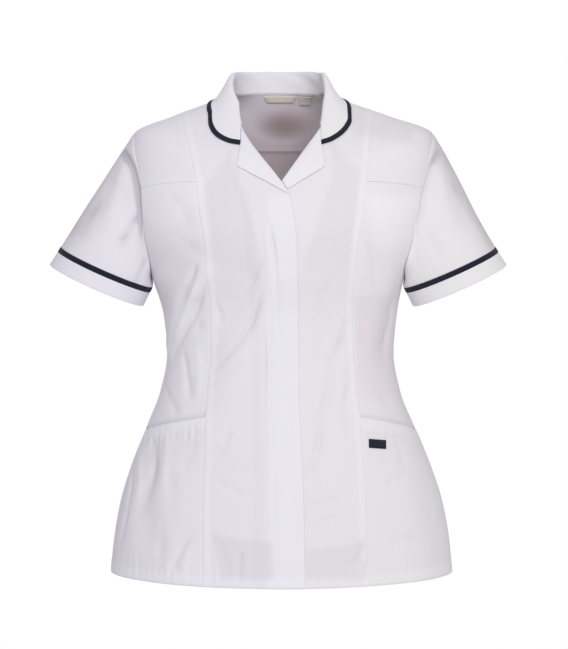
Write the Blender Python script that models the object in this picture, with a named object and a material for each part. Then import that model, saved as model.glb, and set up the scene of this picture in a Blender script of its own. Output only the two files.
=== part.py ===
"""Women's short-sleeved work tunic, filled out as if worn, with no wearer.

White cloth with dark blue tape on the collar edge and the sleeves, a notched collar, a hidden
front opening, long panel seams, chest seams and two hip pockets set into the seams.

Frame: +Z up, the front faces -Y, the wearer's right is -X. The origin is the middle of the
neck hole at the height of the side neck points, where the shoulders carry the garment.

All sizes are in millimetres until mesh_object, which scales them to metres.

The body is one surface, torso(u, v). u goes round it in degrees from the centre front, plus
towards the wearer's left, and 180 is the centre back. v goes up it from 0 at the hem to 1 at
the neck seam. A panel is a grid of (u, v) between four seam lines, with a wall behind it.
Panels that meet share the points of their seam, and each draws back half of SEAM_GAP from it.
"""

from functools import cache

import bmesh
import bpy
import numpy as np

MM = 0.001
WALL = 1.4
COLLAR_WALL = 1.4
SEAM_GAP = 0.3
LAP_GAP = 0.8
POCKET_GAP = 0.5

# Heights on the front, from the neck points down.
V_TIP_Z = -150.0
V_TIP_X = 11.6
ROLL_START_Z = -131.5
CHEST_SEAM_Z = -129.5
CHEST_SEAM_ARMHOLE_Z = -136.0
BACK_YOKE_SEAM_Z = -72.0
POCKET_MOUTH_Z = -442.0
POCKET_MOUTH_SIDE_Z = -466.0

# The panel seam ends on the shoulder this far from the middle.
PANEL_SEAM_SHOULDER_X = 132.0
PANEL_SEAM_SHOULDER_DRIFT = -5.0
UNDERARM_V = 0.53
SHOULDER_TIP_V = 0.80

# The armhole is a loop in (u, v) about the side of the body.
ARMHOLE_REACH_FRONT = 29.0
ARMHOLE_REACH_BACK = 26.0
ARMHOLE_ROUNDNESS = 0.75

# Side seams lean forward towards the hem, and the whole skirt is turned a little.
SIDE_SEAM_LEAN = 8.0
SIDE_SEAM_TURN = 3.0

# Rows and columns of the panel grids.
ROWS_POCKET = 9
ROWS_SIDE_SEAM = 9
ROWS_ARMHOLE_FRONT = 7
ROWS_YOKE_FRONT = 7
ROWS_ROLL_LINE = 5
ROWS_FRONT_NECK = 3
ROWS_ARMHOLE_YOKE = 3
ROWS_ARMHOLE_BACK = 9
COLUMNS_SIDE = 7
COLUMNS_YOKE = 4
COLUMNS_BACK = 14
BACK_HOLD = 6
ROWS_WAIST = ROWS_SIDE_SEAM + ROWS_ARMHOLE_FRONT
FRONT_COLUMNS = np.array([0.0, 0.12, 0.25, 0.36, 0.46, 0.62, 0.8, 1.0])

# The right front is lifted over the left one across these shares of its width, up to this height.
LAP_SHARES = (0.36, 0.46)
LAP_FADE_Z = (-131.0, -108.0)

# Sleeves: middle and half axes of the hem ellipse, the dark tape ring and the cuff below it.
SLEEVE_MIDDLE_RIGHT = (-253.0, -12.0, -265.0)
SLEEVE_MIDDLE_LEFT = (245.0, -12.0, -265.5)
SLEEVE_HEM_LONG = 70.0
SLEEVE_HEM_SHORT = 55.0
SLEEVE_HEM_TILT = 24.3
SLEEVE_TAPER = 0.5
SLEEVE_FLARE = 4.5
SLEEVE_FORWARD = -0.10
CUFF_LENGTH = 21.0
SLEEVE_TAPE = 7.0
SLEEVE_ROWS = 9

# How far a sleeve leaves the armhole sideways instead of straight towards its hem.
SLEEVE_SPREAD = 0.12
SLEEVE_SPREAD_TOP = 0.45

# Collar.
COLLAR_TAPE = 7.0
COLLAR_CLEAR = 1.0
COLLAR_FRONT_STEPS = 6
STAND_SHARES = (0.0, 0.4, 0.7, 0.88, 1.0)
FALL_SHARES = (0.12, 0.3, 0.55, 0.8, 1.0)
NECK_BEND = (72.0, 0.991)

# Labels inside the neck and the plain tab on the left pocket.
LABEL_GAP = 0.9
HANGER_LOOP_X = (-25.0, 22.0)
HANGER_LOOP_Z = (-3.0, 4.5)
HANGER_LOOP_TAPER = 5.0
HANGER_LOOP_THICK = 0.8
SIZE_LABEL_X = (27.0, 43.0)
SIZE_LABEL_Z = (-6.5, 5.0)
SIZE_LABEL_THICK = 0.6
TAB_GAP = 0.5
TAB_THICK = 0.8
TAB_X = (116.0, 139.0)
TAB_BOTTOM_Z = -482.0
TAB_HEIGHT = 11.0
TAB_DROP = 2.5


def smooth(xs, ys, at):
    """Cubic through the points (xs, ys) that never swings past them."""
    xs = np.asarray(xs, float)
    ys = np.asarray(ys, float)
    step = np.diff(xs)
    slope = np.diff(ys) / step
    product = slope[:-1] * slope[1:]
    total = np.where(product > 0, slope[:-1] + slope[1:], 1.0)
    middle = np.where(product > 0, 2 * product / total, 0.0)
    tangent = np.concatenate([slope[:1], middle, slope[-1:]])
    at = np.asarray(at, float)
    k = np.clip(np.searchsorted(xs, at) - 1, 0, len(step) - 1)
    t = (at - xs[k]) / step[k]
    rise = (1 + 2 * t) * (1 - t) ** 2 * ys[k] + t * t * (3 - 2 * t) * ys[k + 1]
    lean = t * (1 - t) ** 2 * tangent[k] - t * t * (1 - t) * tangent[k + 1]
    return rise + lean * step[k]


class Table:
    """A short table with named columns, read smoothly along its first column."""

    def __init__(self, names, rows):
        self.names = names.split()
        self.columns = dict(zip(self.names, np.array(rows, float).T))

    def __call__(self, name, at):
        return smooth(self.columns[self.names[0]], self.columns[name], at)

    def rows(self):
        return zip(*(self.columns[name] for name in self.names))


# Rings of the body: half width, depth before and behind, heights at the side, front and back,
# the power of the ring's superellipse and its shift along X.
RINGS = Table("v side front back z_side z_front z_back power shift", [
    (0.000, 235.0, 135, 126, -658, -664, -662, 2.10, 1.0),
    (0.065, 230.5, 133, 127, -610, -610, -610, 2.10, 1.0),
    (0.130, 221.0, 131, 126, -560, -560, -560, 2.10, 0.5),
    (0.195, 205.0, 128, 121, -510, -510, -510, 2.10, 0.0),
    (0.260, 184.5, 124, 112, -460, -460, -460, 2.15, -0.5),
    (0.325, 165.0, 119, 100, -410, -410, -410, 2.15, -1.0),
    (0.390, 156.0, 116, 93, -358, -358, -358, 2.20, -1.0),
    (0.450, 160.0, 118, 94, -312, -312, -312, 2.20, -1.5),
    (0.530, 175.0, 129, 106, -250, -252, -250, 2.20, -4.0),
    (0.600, 200.0, 131, 112, -200, -208, -200, 2.20, -3.0),
    (0.680, 212.0, 122, 112, -140, -165, -150, 2.20, 0.0),
    (0.760, 214.0, 108, 107, -85, -130, -105, 2.20, 2.0),
    (0.800, 206.0, 101, 102, -57, -112, -85, 2.20, 3.0),
    (0.870, 150.0, 85, 90, -33, -86, -48, 2.15, 0.0),
    (0.940, 100.0, 68, 77, -15, -64, -16, 2.10, -2.0),
    (1.000, 62.0, 52, 62, 0, -45, 7, 2.00, -4.0),
])

# Broad folds: a soft ridge (or trough, where height is negative) along a line in (u, v).
FOLDS = Table("u0 v0 u1 v1 width height", [
    (-33, 0.530, -74, 0.405, 15, 4.0),
    (-36, 0.575, -80, 0.470, 16, -3.5),
    (-42, 0.470, -66, 0.400, 13, -3.0),
    (-12, 0.520, -36, 0.375, 16, -2.5),
    (-20, 0.380, -30, 0.250, 20, 2.0),
    (20, 0.440, 10, 0.230, 18, -2.5),
    (-62, 0.215, -50, 0.080, 18, -3.5),
    (-44, 0.180, -38, 0.020, 22, 2.5),
    (48, 0.150, 52, 0.000, 24, 2.5),
    (75, 0.520, 62, 0.400, 20, -2.5),
    (108, 0.300, 104, 0.020, 26, -4.0),
    (132, 0.280, 136, 0.000, 26, 4.0),
    (160, 0.240, 164, 0.000, 26, -4.0),
    (192, 0.230, 190, 0.000, 28, 4.0),
    (222, 0.260, 218, 0.000, 26, -4.0),
    (250, 0.280, 252, 0.020, 26, 3.5),
    (150, 0.470, 196, 0.420, 18, -3.0),
    (212, 0.480, 172, 0.395, 18, 3.0),
    (128, 0.600, 150, 0.500, 20, -3.0),
    (234, 0.600, 212, 0.500, 20, -3.0),
])
FOLD_MM_PER_DEGREE = 2.4
FOLD_MM_PER_V = 690.0

# Distance of the panel seam from the middle, seen from the front.
PANEL_SEAM = Table("z x", [
    (-664, 109.5),
    (-539, 107.5),
    (-489, 105.0),
    (-444, 103.0),
    (-389, 99.0),
    (-337, 95.5),
    (-287, 95.0),
    (-248, 99.0),
    (-208, 103.0),
    (-168, 109.0),
    (-131, 113.5),
    (-98, 118.5),
    (-80, 121.0),
])

# Drift: the panel seams lie this much to the wearer's left of a mirrored pair.
DRIFT = Table("z x", [
    (-664, 6.5),
    (-450, 3.0),
    (-250, 0.0),
    (-131, 0.0),
    (-80, -3.0),
])

# Edge of the overlapping right front, and of the left front hidden under it.
FRONT_EDGE = Table("z over under", [
    (-664, 31.3, -15.5),
    (-562, 29.5, -16.0),
    (-488, 27.0, -18.0),
    (-413, 23.3, -19.0),
    (-312, 22.5, -19.0),
    (-208, 20.3, -18.0),
    (-175, 16.0, -15.0),
    (V_TIP_Z, V_TIP_X, -V_TIP_X),
])

# Roll line from the foot of the V to the neck point, seen from the front (mirrored).
ROLL_LINE = Table("z x", [
    (ROLL_START_Z, 0.0),
    (-50.0, 54.0),
    (-25.0, 59.0),
])
GORGE_Z = -51.0

# Corners of a lapel, seen from the front (mirrored).
LAPEL_GORGE = (53.6, -54.5)
LAPEL_NOTCH = (53.3, -76.0)
LAPEL_CORNER = (57.5, -110.5)
LEFT_LAPEL_FOOT = (12.6, -138.5)
LEFT_LAPEL_CROSSING = (3.0, -128.5)

# Fold of the collar over the neck seam, from the gorge (step 0) to the side of the neck (6) and
# the centre back (13): its height, and how far it leans with the body's surface from upright.
COLLAR_ROLL = Table("step height lean", [
    (0.0, 3.0, 0.6),
    (1.0, 4.5, 0.6),
    (2.0, 7.0, 0.5),
    (3.0, 11.0, 0.3),
    (4.0, 16.0, 0.1),
    (5.0, 22.0, 0.0),
    (6.0, 27.5, 0.0),
    (8.0, 30.5, 0.1),
    (10.0, 32.0, 0.3),
    (13.0, 32.5, 0.4),
])

# Outer edge of the collar: front points of both sides seen from the front (their x away from the
# middle), then where it passes over each shoulder.
COLLAR_EDGE_FRONT = Table("step right_x right_z left_x left_z", [
    (0.0, 55.0, -80.0, 54.0, -79.5),
    (1.0, 67.0, -78.0, 65.0, -76.0),
    (2.0, 80.5, -72.5, 78.0, -68.5),
    (3.0, 91.5, -63.0, 89.0, -57.5),
    (4.0, 97.5, -49.0, 95.0, -44.0),
    (5.0, 98.5, -34.0, 95.0, -30.0),
])
COLLAR_EDGE_SHOULDER_V = {"right": 0.954, "left": 0.961}
COLLAR_EDGE_BACK_V = 0.930

FINISHES = {
    "white cloth": ((0.80, 0.79, 0.83), 0.85),
    "blue tape": ((0.012, 0.014, 0.040), 0.55),
    "cream tape": ((0.78, 0.74, 0.64), 0.80),
}


def torso(u, v):
    """Points of the body surface, without its folds."""
    turn = np.radians(u)
    across = np.sin(turn)
    along = np.cos(turn)
    bend = 2 / RINGS("power", v)
    x = RINGS("shift", v) + RINGS("side", v) * np.sign(across) * np.abs(across) ** bend
    in_front = along > 0
    depth = np.where(in_front, RINGS("front", v), RINGS("back", v))
    y = -depth * np.sign(along) * np.abs(along) ** bend
    middle = np.where(in_front, RINGS("z_front", v), RINGS("z_back", v))
    z = middle + (RINGS("z_side", v) - middle) * across ** 2
    return np.stack([x, y, z], -1)


def unit(vectors):
    return vectors / np.linalg.norm(vectors, axis=-1, keepdims=True)


def body_normal(u, v):
    """Outward direction of the body surface."""
    u = np.asarray(u, float)
    v = np.asarray(v, float)
    round_it = torso(u + 0.4, v) - torso(u - 0.4, v)
    up_it = torso(u, v + 0.002) - torso(u, v - 0.002)
    return unit(np.cross(round_it, up_it))


def fold_height(u, v):
    """Height of the broad folds over the body surface."""
    height = np.zeros(np.shape(u))
    for u0, v0, u1, v1, width, top in FOLDS.rows():
        to_u = (np.mod(u - u0 + 180, 360) - 180) * FOLD_MM_PER_DEGREE
        to_v = (v - v0) * FOLD_MM_PER_V
        line_u = (np.mod(u1 - u0 + 180, 360) - 180) * FOLD_MM_PER_DEGREE
        line_v = (v1 - v0) * FOLD_MM_PER_V
        along = np.clip((to_u * line_u + to_v * line_v) / (line_u ** 2 + line_v ** 2), 0, 1)
        off = np.hypot(to_u - along * line_u, to_v - along * line_v)
        height = height + top * np.exp(-(off / width) ** 2)
    return height


def body(u, v, lift=0.0):
    """Points of the folded body surface, moved out by lift."""
    height = fold_height(u, v) + lift
    return torso(u, v) + body_normal(u, v) * height[..., None]


def angle_at(x, v):
    """u of the front point at x on the ring v."""
    share = (x - RINGS("shift", v)) / RINGS("side", v)
    share = np.clip(share, -1, 1)
    power = RINGS("power", v) / 2
    return np.degrees(np.arcsin(np.sign(share) * np.abs(share) ** power))


def level_at(u, z):
    """v of the point at height z on the line u, by halving."""
    low = np.zeros(np.broadcast(u, z).shape)
    high = np.ones_like(low)
    for _ in range(24):
        middle = (low + high) / 2
        below = torso(u + low * 0, middle)[..., 2] < z
        low = np.where(below, middle, low)
        high = np.where(below, high, middle)
    return (low + high) / 2


def front_at(x, z):
    """(u, v) of the front points seen at (x, z) from the front."""
    x = np.asarray(x, float)
    z = np.asarray(z, float)
    v = np.full(np.broadcast(x, z).shape, 0.7)
    for _ in range(30):
        u = angle_at(x, v)
        v = (v + level_at(u, z)) / 2
    return np.stack([angle_at(x, v), v], -1)


class Line:
    """A line on the body through closely spaced (u, v) points, measured along the surface."""

    def __init__(self, points):
        self.points = np.array(points, float)
        self.place = torso(self.points[:, 0], self.points[:, 1])
        steps = np.linalg.norm(np.diff(self.place, axis=0), axis=1)
        self.run = np.concatenate([[0.0], np.cumsum(steps)])

    def at_height(self, z):
        """Run at which the line first passes height z, going up or down."""
        heights = self.place[:, 2]
        order = 1 if heights[-1] > heights[0] else -1
        return np.interp(z, heights[::order], self.run[::order])

    def stretch(self, start, end, shares):
        """(u, v) points at the given shares of the way from one run to another."""
        at = start + (end - start) * np.asarray(shares)
        return np.stack([np.interp(at, self.run, self.points[:, k]) for k in (0, 1)], -1)


def even(pieces):
    return np.linspace(0, 1, pieces + 1)


def straight(a, b, pieces):
    """Evenly spaced points from a to b."""
    return np.asarray(a) + (np.asarray(b) - np.asarray(a)) * even(pieces)[:, None]


def chain(*stretches):
    """Stretches end to end, with each shared point kept once."""
    return np.concatenate([stretches[0]] + [part[1:] for part in stretches[1:]])


def patch(left, right, bottom, top, shares=None, hold=1):
    """Grid of (u, v) between four lines; rows run from bottom to top.

    Inside, the rows are blended straight from bottom to top, and the bend of a side line fades
    out from it, faster with a higher hold."""
    rows = even(len(left) - 1)[:, None, None]
    columns = (even(len(bottom) - 1) if shares is None else shares)[None, :, None]
    ruled = (1 - rows) * bottom[None] + rows * top[None]
    bend_left = left[:, None] - ruled[:, :1]
    bend_right = right[:, None] - ruled[:, -1:]
    return ruled + bend_left * (1 - columns) ** hold + bend_right * columns ** hold


def panel_seam(side):
    """Seam from the hem to the shoulder, as a Line."""
    z = np.linspace(-663, -80, 90)
    seen = side * PANEL_SEAM("x", z) + DRIFT("x", z)
    low = front_at(seen, z)
    hem = [angle_at(side * PANEL_SEAM("x", -664) + DRIFT("x", -664), 0.0), 0.0]
    seam_side = RINGS.columns["side"][::-1]
    end_x = PANEL_SEAM_SHOULDER_X + side * PANEL_SEAM_SHOULDER_DRIFT
    end_v = smooth(seam_side[:4], RINGS.columns["v"][::-1][:4], end_x)
    end_x = side * RINGS("side", end_v) + RINGS("shift", end_v)
    v = np.linspace(low[-1, 1], end_v, 25)[1:]
    ease = (v - low[-1, 1]) / (end_v - low[-1, 1])
    high = np.stack([angle_at(seen[-1] + (end_x - seen[-1]) * ease, v), v], -1)
    high[-1, 0] = side * 90.0
    return Line(np.concatenate([[hem], low[1:], high]))


@cache
def panel_seam_points(side):
    """Shared points of the panel seam: hem to pocket, to chest seam, to shoulder."""
    line = panel_seam(side)
    mouth = line.at_height(POCKET_MOUTH_Z)
    chest = line.at_height(CHEST_SEAM_Z)
    return (line.stretch(0, mouth, even(ROWS_POCKET)),
            line.stretch(mouth, chest, even(ROWS_WAIST)),
            line.stretch(chest, line.run[-1], even(ROWS_YOKE_FRONT)))


@cache
def inner_edge_points(side):
    """Shared points of a front's inner edge: hem to pocket height, to the V, to the neck."""
    column = "over" if side < 0 else "under"
    z = np.linspace(-663, V_TIP_Z, 80)
    edge = front_at(FRONT_EDGE(column, z), z)
    edge = np.concatenate([[[angle_at(FRONT_EDGE(column, -664.0), 0.0), 0.0]], edge[1:]])
    low = Line(edge)
    z = np.linspace(V_TIP_Z, -25.0, 60)
    over = -side * np.interp(z, (V_TIP_Z, ROLL_START_Z), (V_TIP_X, 0.0))
    rolled = side * ROLL_LINE("x", np.maximum(z, ROLL_START_Z))
    roll = front_at(np.where(z < ROLL_START_Z, over, rolled), z)
    bend = np.array([side * NECK_BEND[0], NECK_BEND[1]])
    neck = np.array([side * 90.0, 1.0])
    high = Line(chain(roll, straight(roll[-1], bend, 4), straight(bend, neck, 4)))
    mouth = low.at_height(POCKET_MOUTH_Z)
    gorge = high.at_height(GORGE_Z)
    return (low.stretch(0, mouth, even(ROWS_POCKET)),
            low.stretch(mouth, low.run[-1], even(ROWS_WAIST - 1)),
            high.stretch(0, gorge, even(ROWS_ROLL_LINE)),
            high.stretch(gorge, high.run[-1], even(ROWS_FRONT_NECK)))


@cache
def side_seam_points(side):
    """Shared points of the side seam: hem to pocket mouth, to the underarm."""
    v = np.linspace(0, UNDERARM_V, 80)
    down = 1 - v / UNDERARM_V
    line = Line(np.stack([side * (90 - SIDE_SEAM_LEAN * down) + SIDE_SEAM_TURN * down, v], -1))
    mouth = line.at_height(POCKET_MOUTH_SIDE_Z)
    return (line.stretch(0, mouth, even(ROWS_POCKET)),
            line.stretch(mouth, line.run[-1], even(ROWS_SIDE_SEAM)))


def armhole_line(side, reach):
    """Half of the armhole, from the underarm to the shoulder tip; reach is minus at the back."""
    turn = np.linspace(np.pi, 0, 120)
    v = (SHOULDER_TIP_V + UNDERARM_V) / 2 + (SHOULDER_TIP_V - UNDERARM_V) / 2 * np.cos(turn)
    u = 90 - reach * np.abs(np.sin(turn)) ** ARMHOLE_ROUNDNESS
    return Line(np.stack([side * u, v], -1))


@cache
def armhole_front_points(side):
    """Shared points of the front armhole: underarm to chest seam, to shoulder tip."""
    line = armhole_line(side, ARMHOLE_REACH_FRONT)
    chest = line.at_height(CHEST_SEAM_ARMHOLE_Z)
    return (line.stretch(0, chest, even(ROWS_ARMHOLE_FRONT)),
            line.stretch(chest, line.run[-1], even(ROWS_YOKE_FRONT)))


@cache
def armhole_back_points(side):
    """Shared points of the back armhole: underarm to back yoke seam, to shoulder tip."""
    line = armhole_line(side, -ARMHOLE_REACH_BACK)
    yoke = line.at_height(BACK_YOKE_SEAM_Z)
    return (line.stretch(0, yoke, even(ROWS_ARMHOLE_BACK)),
            line.stretch(yoke, line.run[-1], even(ROWS_ARMHOLE_YOKE)))


@cache
def shoulder_points(side):
    """Shared points of the shoulder seam: neck to panel seam, to shoulder tip."""
    panel_v = panel_seam_points(side)[2][-1, 1]
    line = Line(np.stack([np.full(60, side * 90.0), np.linspace(1, SHOULDER_TIP_V, 60)], -1))
    panel = np.interp(-panel_v, -line.points[:, 1], line.run)
    return (line.stretch(0, panel, FRONT_COLUMNS),
            line.stretch(panel, line.run[-1], even(COLUMNS_YOKE)))


def back_angle(side, u):
    """u of a back point counted onwards past 180, so that the back is one run of angles."""
    return u if side > 0 else u + 360.0


def hem_points(a, b, shares):
    """Points of the hem from one (u, v) to another."""
    return np.stack([a[0] + (b[0] - a[0]) * shares, np.zeros(len(shares))], -1)


def mesh_object(name, points, triangles, finish):
    """One closed object from points in millimetres."""
    mesh = bpy.data.meshes.new(name)
    mesh.from_pydata((np.asarray(points) * MM).tolist(), [], triangles)
    work = bmesh.new()
    work.from_mesh(mesh)
    bmesh.ops.recalc_face_normals(work, faces=work.faces)
    work.to_mesh(mesh)
    work.free()
    mesh.materials.append(material(finish))
    mesh.shade_smooth()
    mesh.set_sharp_from_angle(angle=np.radians(35))
    item = bpy.data.objects.new(name, mesh)
    bpy.context.collection.objects.link(item)
    return item


def material(finish):
    """Principled material of a finish, made once."""
    known = bpy.data.materials.get(finish)
    if known:
        return known
    colour, roughness = FINISHES[finish]
    made = bpy.data.materials.new(finish)
    made.use_nodes = True
    shader = made.node_tree.nodes["Principled BSDF"]
    shader.inputs["Base Color"].default_value = (*colour, 1.0)
    shader.inputs["Roughness"].default_value = roughness
    shader.inputs["Metallic"].default_value = 0.0
    return made


def cloth_wall(name, outer, inner, finish="white cloth", closed=False):
    """Closed wall between two grids of points; a closed one joins its last column to its first."""
    rows, columns = outer.shape[:2]
    inside = rows * columns

    def corner(i, j):
        return i * columns + j % columns

    points = np.concatenate([outer.reshape(-1, 3), inner.reshape(-1, 3)])
    triangles = []

    def quad(a, b, c, d):
        if np.linalg.norm(points[a] - points[c]) > np.linalg.norm(points[b] - points[d]):
            a, b, c, d = b, c, d, a
        triangles.extend([(a, b, c), (a, c, d)])

    spans = columns if closed else columns - 1
    for i in range(rows - 1):
        for j in range(spans):
            quad(corner(i, j), corner(i, j + 1), corner(i + 1, j + 1), corner(i + 1, j))
    triangles += [tuple(k + inside for k in face[::-1]) for face in triangles]
    for i, turn in ((0, 1), (rows - 1, -1)):
        for j in range(spans):
            a, b = (corner(i, j), corner(i, j + 1))[::turn]
            quad(b, a, a + inside, b + inside)
    if not closed:
        for j, turn in ((0, -1), (columns - 1, 1)):
            for i in range(rows - 1):
                a, b = (corner(i, j), corner(i + 1, j))[::turn]
                quad(b, a, a + inside, b + inside)
    return mesh_object(name, points, triangles, finish)


def draw_back(outer, inner, edges, closed=False, gap=SEAM_GAP / 2):
    """Moves the named edges of a wall into it by gap, square to the seam."""
    start = (outer.copy(), inner.copy())
    for edge in edges:
        first = edge in ("left", "bottom")
        line = 0 if first else -1
        into = 1 if first else -2
        pick = (slice(None), line) if edge in ("left", "right") else (line, slice(None))
        next_pick = (slice(None), into) if edge in ("left", "right") else (into, slice(None))
        seam = start[0][pick]
        along = np.gradient(seam, axis=0)
        if closed:
            along = np.roll(seam, -1, axis=0) - np.roll(seam, 1, axis=0)
        across = unit(np.cross(along, seam - start[1][pick]))
        inwards = np.sum(across * (start[0][next_pick] - seam), axis=-1, keepdims=True)
        across = across * np.sign(inwards) * gap
        outer[pick] += across
        inner[pick] += across


def body_panel(name, grid, lift=0.0, inward=None, edges=("left", "right", "bottom", "top")):
    """A panel of the body from its (u, v) grid; inward holds the wall vectors at its armholes."""
    u, v = grid[..., 0], grid[..., 1]
    outer = body(u, v, lift)
    wall = body_normal(u, v) * WALL
    if inward is not None:
        pick, vectors = inward
        wall[pick] = vectors
    inner = outer - wall
    draw_back(outer, inner, edges)
    return cloth_wall(name, outer, inner)


def below_underarm(walls, side):
    """Wall vectors of the armhole; the underarm itself keeps the panel's own wall."""
    vectors = walls[side].copy()
    loop = armhole_loop(side)
    vectors[0] = body_normal(loop[0, 0], loop[0, 1]) * WALL
    return vectors


def sleeve_frame(side):
    """Middle of the sleeve hem, its long and short half axes, and the sleeve's direction."""
    middle = np.array(SLEEVE_MIDDLE_RIGHT if side < 0 else SLEEVE_MIDDLE_LEFT)
    tilt = np.radians(SLEEVE_HEM_TILT)
    outwards = np.array([side * np.cos(tilt), 0.0, np.sin(tilt)])
    down = unit(np.array([side * np.sin(tilt), -SLEEVE_FORWARD, -np.cos(tilt)]))
    forward = unit(np.cross(down, outwards) * side)
    forward = forward if forward[1] < 0 else -forward
    return middle, outwards * SLEEVE_HEM_LONG, forward * SLEEVE_HEM_SHORT, down


def armhole_loop(side):
    """Shared (u, v) points round the armhole: underarm, front, shoulder tip, back."""
    front = chain(*armhole_front_points(side))
    back = chain(*armhole_back_points(side))[::-1]
    return np.concatenate([front, back[1:-1]])


@cache
def sleeve_surface(side):
    """Rings of points from the armhole to the sleeve hem, with the ring spacing in millimetres."""
    loop = armhole_loop(side)
    start = body(loop[:, 0], loop[:, 1])
    front_count = ROWS_ARMHOLE_FRONT + ROWS_YOKE_FRONT
    back_count = ROWS_ARMHOLE_YOKE + ROWS_ARMHOLE_BACK
    turn = np.concatenate([np.pi * (1 - even(front_count)), -np.pi * even(back_count)[1:-1]])
    middle, outwards, forward, down = sleeve_frame(side)
    hem = middle + np.cos(turn)[:, None] * outwards + np.sin(turn)[:, None] * forward
    straight_part = CUFF_LENGTH + SLEEVE_TAPE
    wider = 1 + SLEEVE_TAPER / SLEEVE_HEM_LONG
    flare = SLEEVE_FLARE / SLEEVE_HEM_LONG * np.clip(np.cos(turn), 0, 1)
    end = middle - outwards * (wider - 1) + outwards * (np.cos(turn) * wider - flare)[:, None]
    end = end + np.sin(turn)[:, None] * forward - down * straight_part
    down = unit(hem - end)
    normal = body_normal(loop[:, 0], loop[:, 1])
    seam = np.roll(start, -1, axis=0) - np.roll(start, 1, axis=0)
    leave = unit(np.cross(seam, normal))
    towards = np.array([side * 200.0, 0.0, -150.0]) - start
    leave = leave * np.sign(np.sum(leave * towards, axis=-1, keepdims=True))
    weight = SLEEVE_SPREAD + SLEEVE_SPREAD_TOP * np.clip(np.cos(turn), 0, 1) ** 2
    weight = weight * smooth((-1.0, -0.6, 1.0), (0.0, 1.0, 1.0), np.cos(turn))
    leave = unit(leave * weight[:, None] + down * (1 - weight[:, None]))
    length = np.linalg.norm(end - start, axis=-1, keepdims=True)
    t = even(SLEEVE_ROWS)[:, None, None]
    rings = ((1 + 2 * t) * (1 - t) ** 2 * start + t * t * (3 - 2 * t) * end
             + t * (1 - t) ** 2 * leave * length - t * t * (1 - t) * down * length)
    tape = SLEEVE_TAPE / (SLEEVE_TAPE + CUFF_LENGTH)
    cuffs = [end + (hem - end) * share for share in (tape, (1 + tape) / 2, 1.0)]
    return np.concatenate([rings, np.stack(cuffs)]), normal


def ring_normals(rings):
    """Outward directions of rings of points about a tube."""
    around = np.roll(rings, -1, axis=1) - np.roll(rings, 1, axis=1)
    along = np.gradient(rings, axis=0)
    normal = unit(np.cross(around, along))
    centre = rings.mean(axis=1, keepdims=True)
    facing = np.sign(np.sum(normal * (rings - centre), axis=(-1, -2), keepdims=True))
    return normal * facing


def armhole_walls(side):
    """Wall vectors on the armhole loop, mitred between the body and the sleeve."""
    rings, body_side = sleeve_surface(side)
    sleeve_side = ring_normals(rings)[0]
    middle = unit(body_side + sleeve_side)
    spread = np.sum(middle * body_side, axis=-1, keepdims=True)
    return middle * WALL / np.maximum(spread, 0.6)


def sleeve(side, word):
    """Sleeve, its tape ring and its cuff: three walls in line."""
    rings, _ = sleeve_surface(side)
    wall = ring_normals(rings) * WALL
    wall[0] = armhole_walls(side)
    inner = rings - wall
    spans = (("sleeve_", 0, SLEEVE_ROWS, "white cloth"),
             ("sleeve_tape_", SLEEVE_ROWS, SLEEVE_ROWS + 1, "blue tape"),
             ("cuff_", SLEEVE_ROWS + 1, SLEEVE_ROWS + 3, "white cloth"))
    for name, first, last, finish in spans:
        outside = rings[first:last + 1].copy()
        inside = inner[first:last + 1].copy()
        draw_back(outside, inside, ("bottom", "top"), closed=True)
        cloth_wall(name + word, outside, inside, finish, closed=True)


def lap_lift(side, grid):
    """Lift of the right front over the left one; it fades by the V."""
    if side > 0:
        return np.zeros(grid.shape[:2])
    height = torso(grid[..., 0], grid[..., 1])[..., 2]
    return np.interp(height, LAP_FADE_Z, (WALL + LAP_GAP, 0.0))


def front(side, word):
    """Centre front from the edge to the panel seam, up to the shoulder."""
    left = chain(*inner_edge_points(side))
    right = chain(*panel_seam_points(side))
    grid = patch(left, right, hem_points(left[0], right[0], FRONT_COLUMNS),
                 shoulder_points(side)[0], FRONT_COLUMNS)
    lapped = np.interp(FRONT_COLUMNS, LAP_SHARES, (1.0, 0.0))
    return body_panel("front_" + word, grid, lap_lift(side, grid) * lapped)


@cache
def side_grids(side):
    """(u, v) grids of the side front below and above the pocket mouth."""
    seam = panel_seam_points(side)
    edge = side_seam_points(side)
    arm = armhole_front_points(side)[0]
    mouth = straight(seam[0][-1], edge[0][-1], COLUMNS_SIDE)
    chest = straight(seam[1][-1], arm[-1], COLUMNS_SIDE)
    hem = hem_points(seam[0][0], edge[0][0], even(COLUMNS_SIDE))
    return patch(seam[0], edge[0], hem, mouth), patch(seam[1], chain(edge[1], arm), mouth, chest)


def side_front(side, word, walls):
    """Side front from the hem to the chest seam, sunk behind the pocket."""
    low, high = side_grids(side)
    grid = np.concatenate([low, high[1:]])
    sunk = np.zeros(grid.shape[:2])
    sunk[:ROWS_POCKET + 1] = -(WALL + POCKET_GAP)
    sunk[ROWS_POCKET + 1] = -(WALL + POCKET_GAP) / 2
    under = ROWS_POCKET + ROWS_SIDE_SEAM
    arm = walls[:ROWS_ARMHOLE_FRONT + 1]
    body_panel("side_front_" + word, grid, sunk, ((slice(under, None), -1), arm))
    body_panel("pocket_" + word, low)


def front_yoke(side, word, walls):
    """Upper side front between the chest seam and the shoulder."""
    left = panel_seam_points(side)[2]
    right = armhole_front_points(side)[1]
    grid = patch(left, right, straight(left[0], right[0], COLUMNS_YOKE), shoulder_points(side)[1])
    arm = walls[ROWS_ARMHOLE_FRONT:ROWS_ARMHOLE_FRONT + ROWS_YOKE_FRONT + 1]
    return body_panel("front_yoke_" + word, grid, 0.0, ((slice(None), -1), arm))


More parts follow.
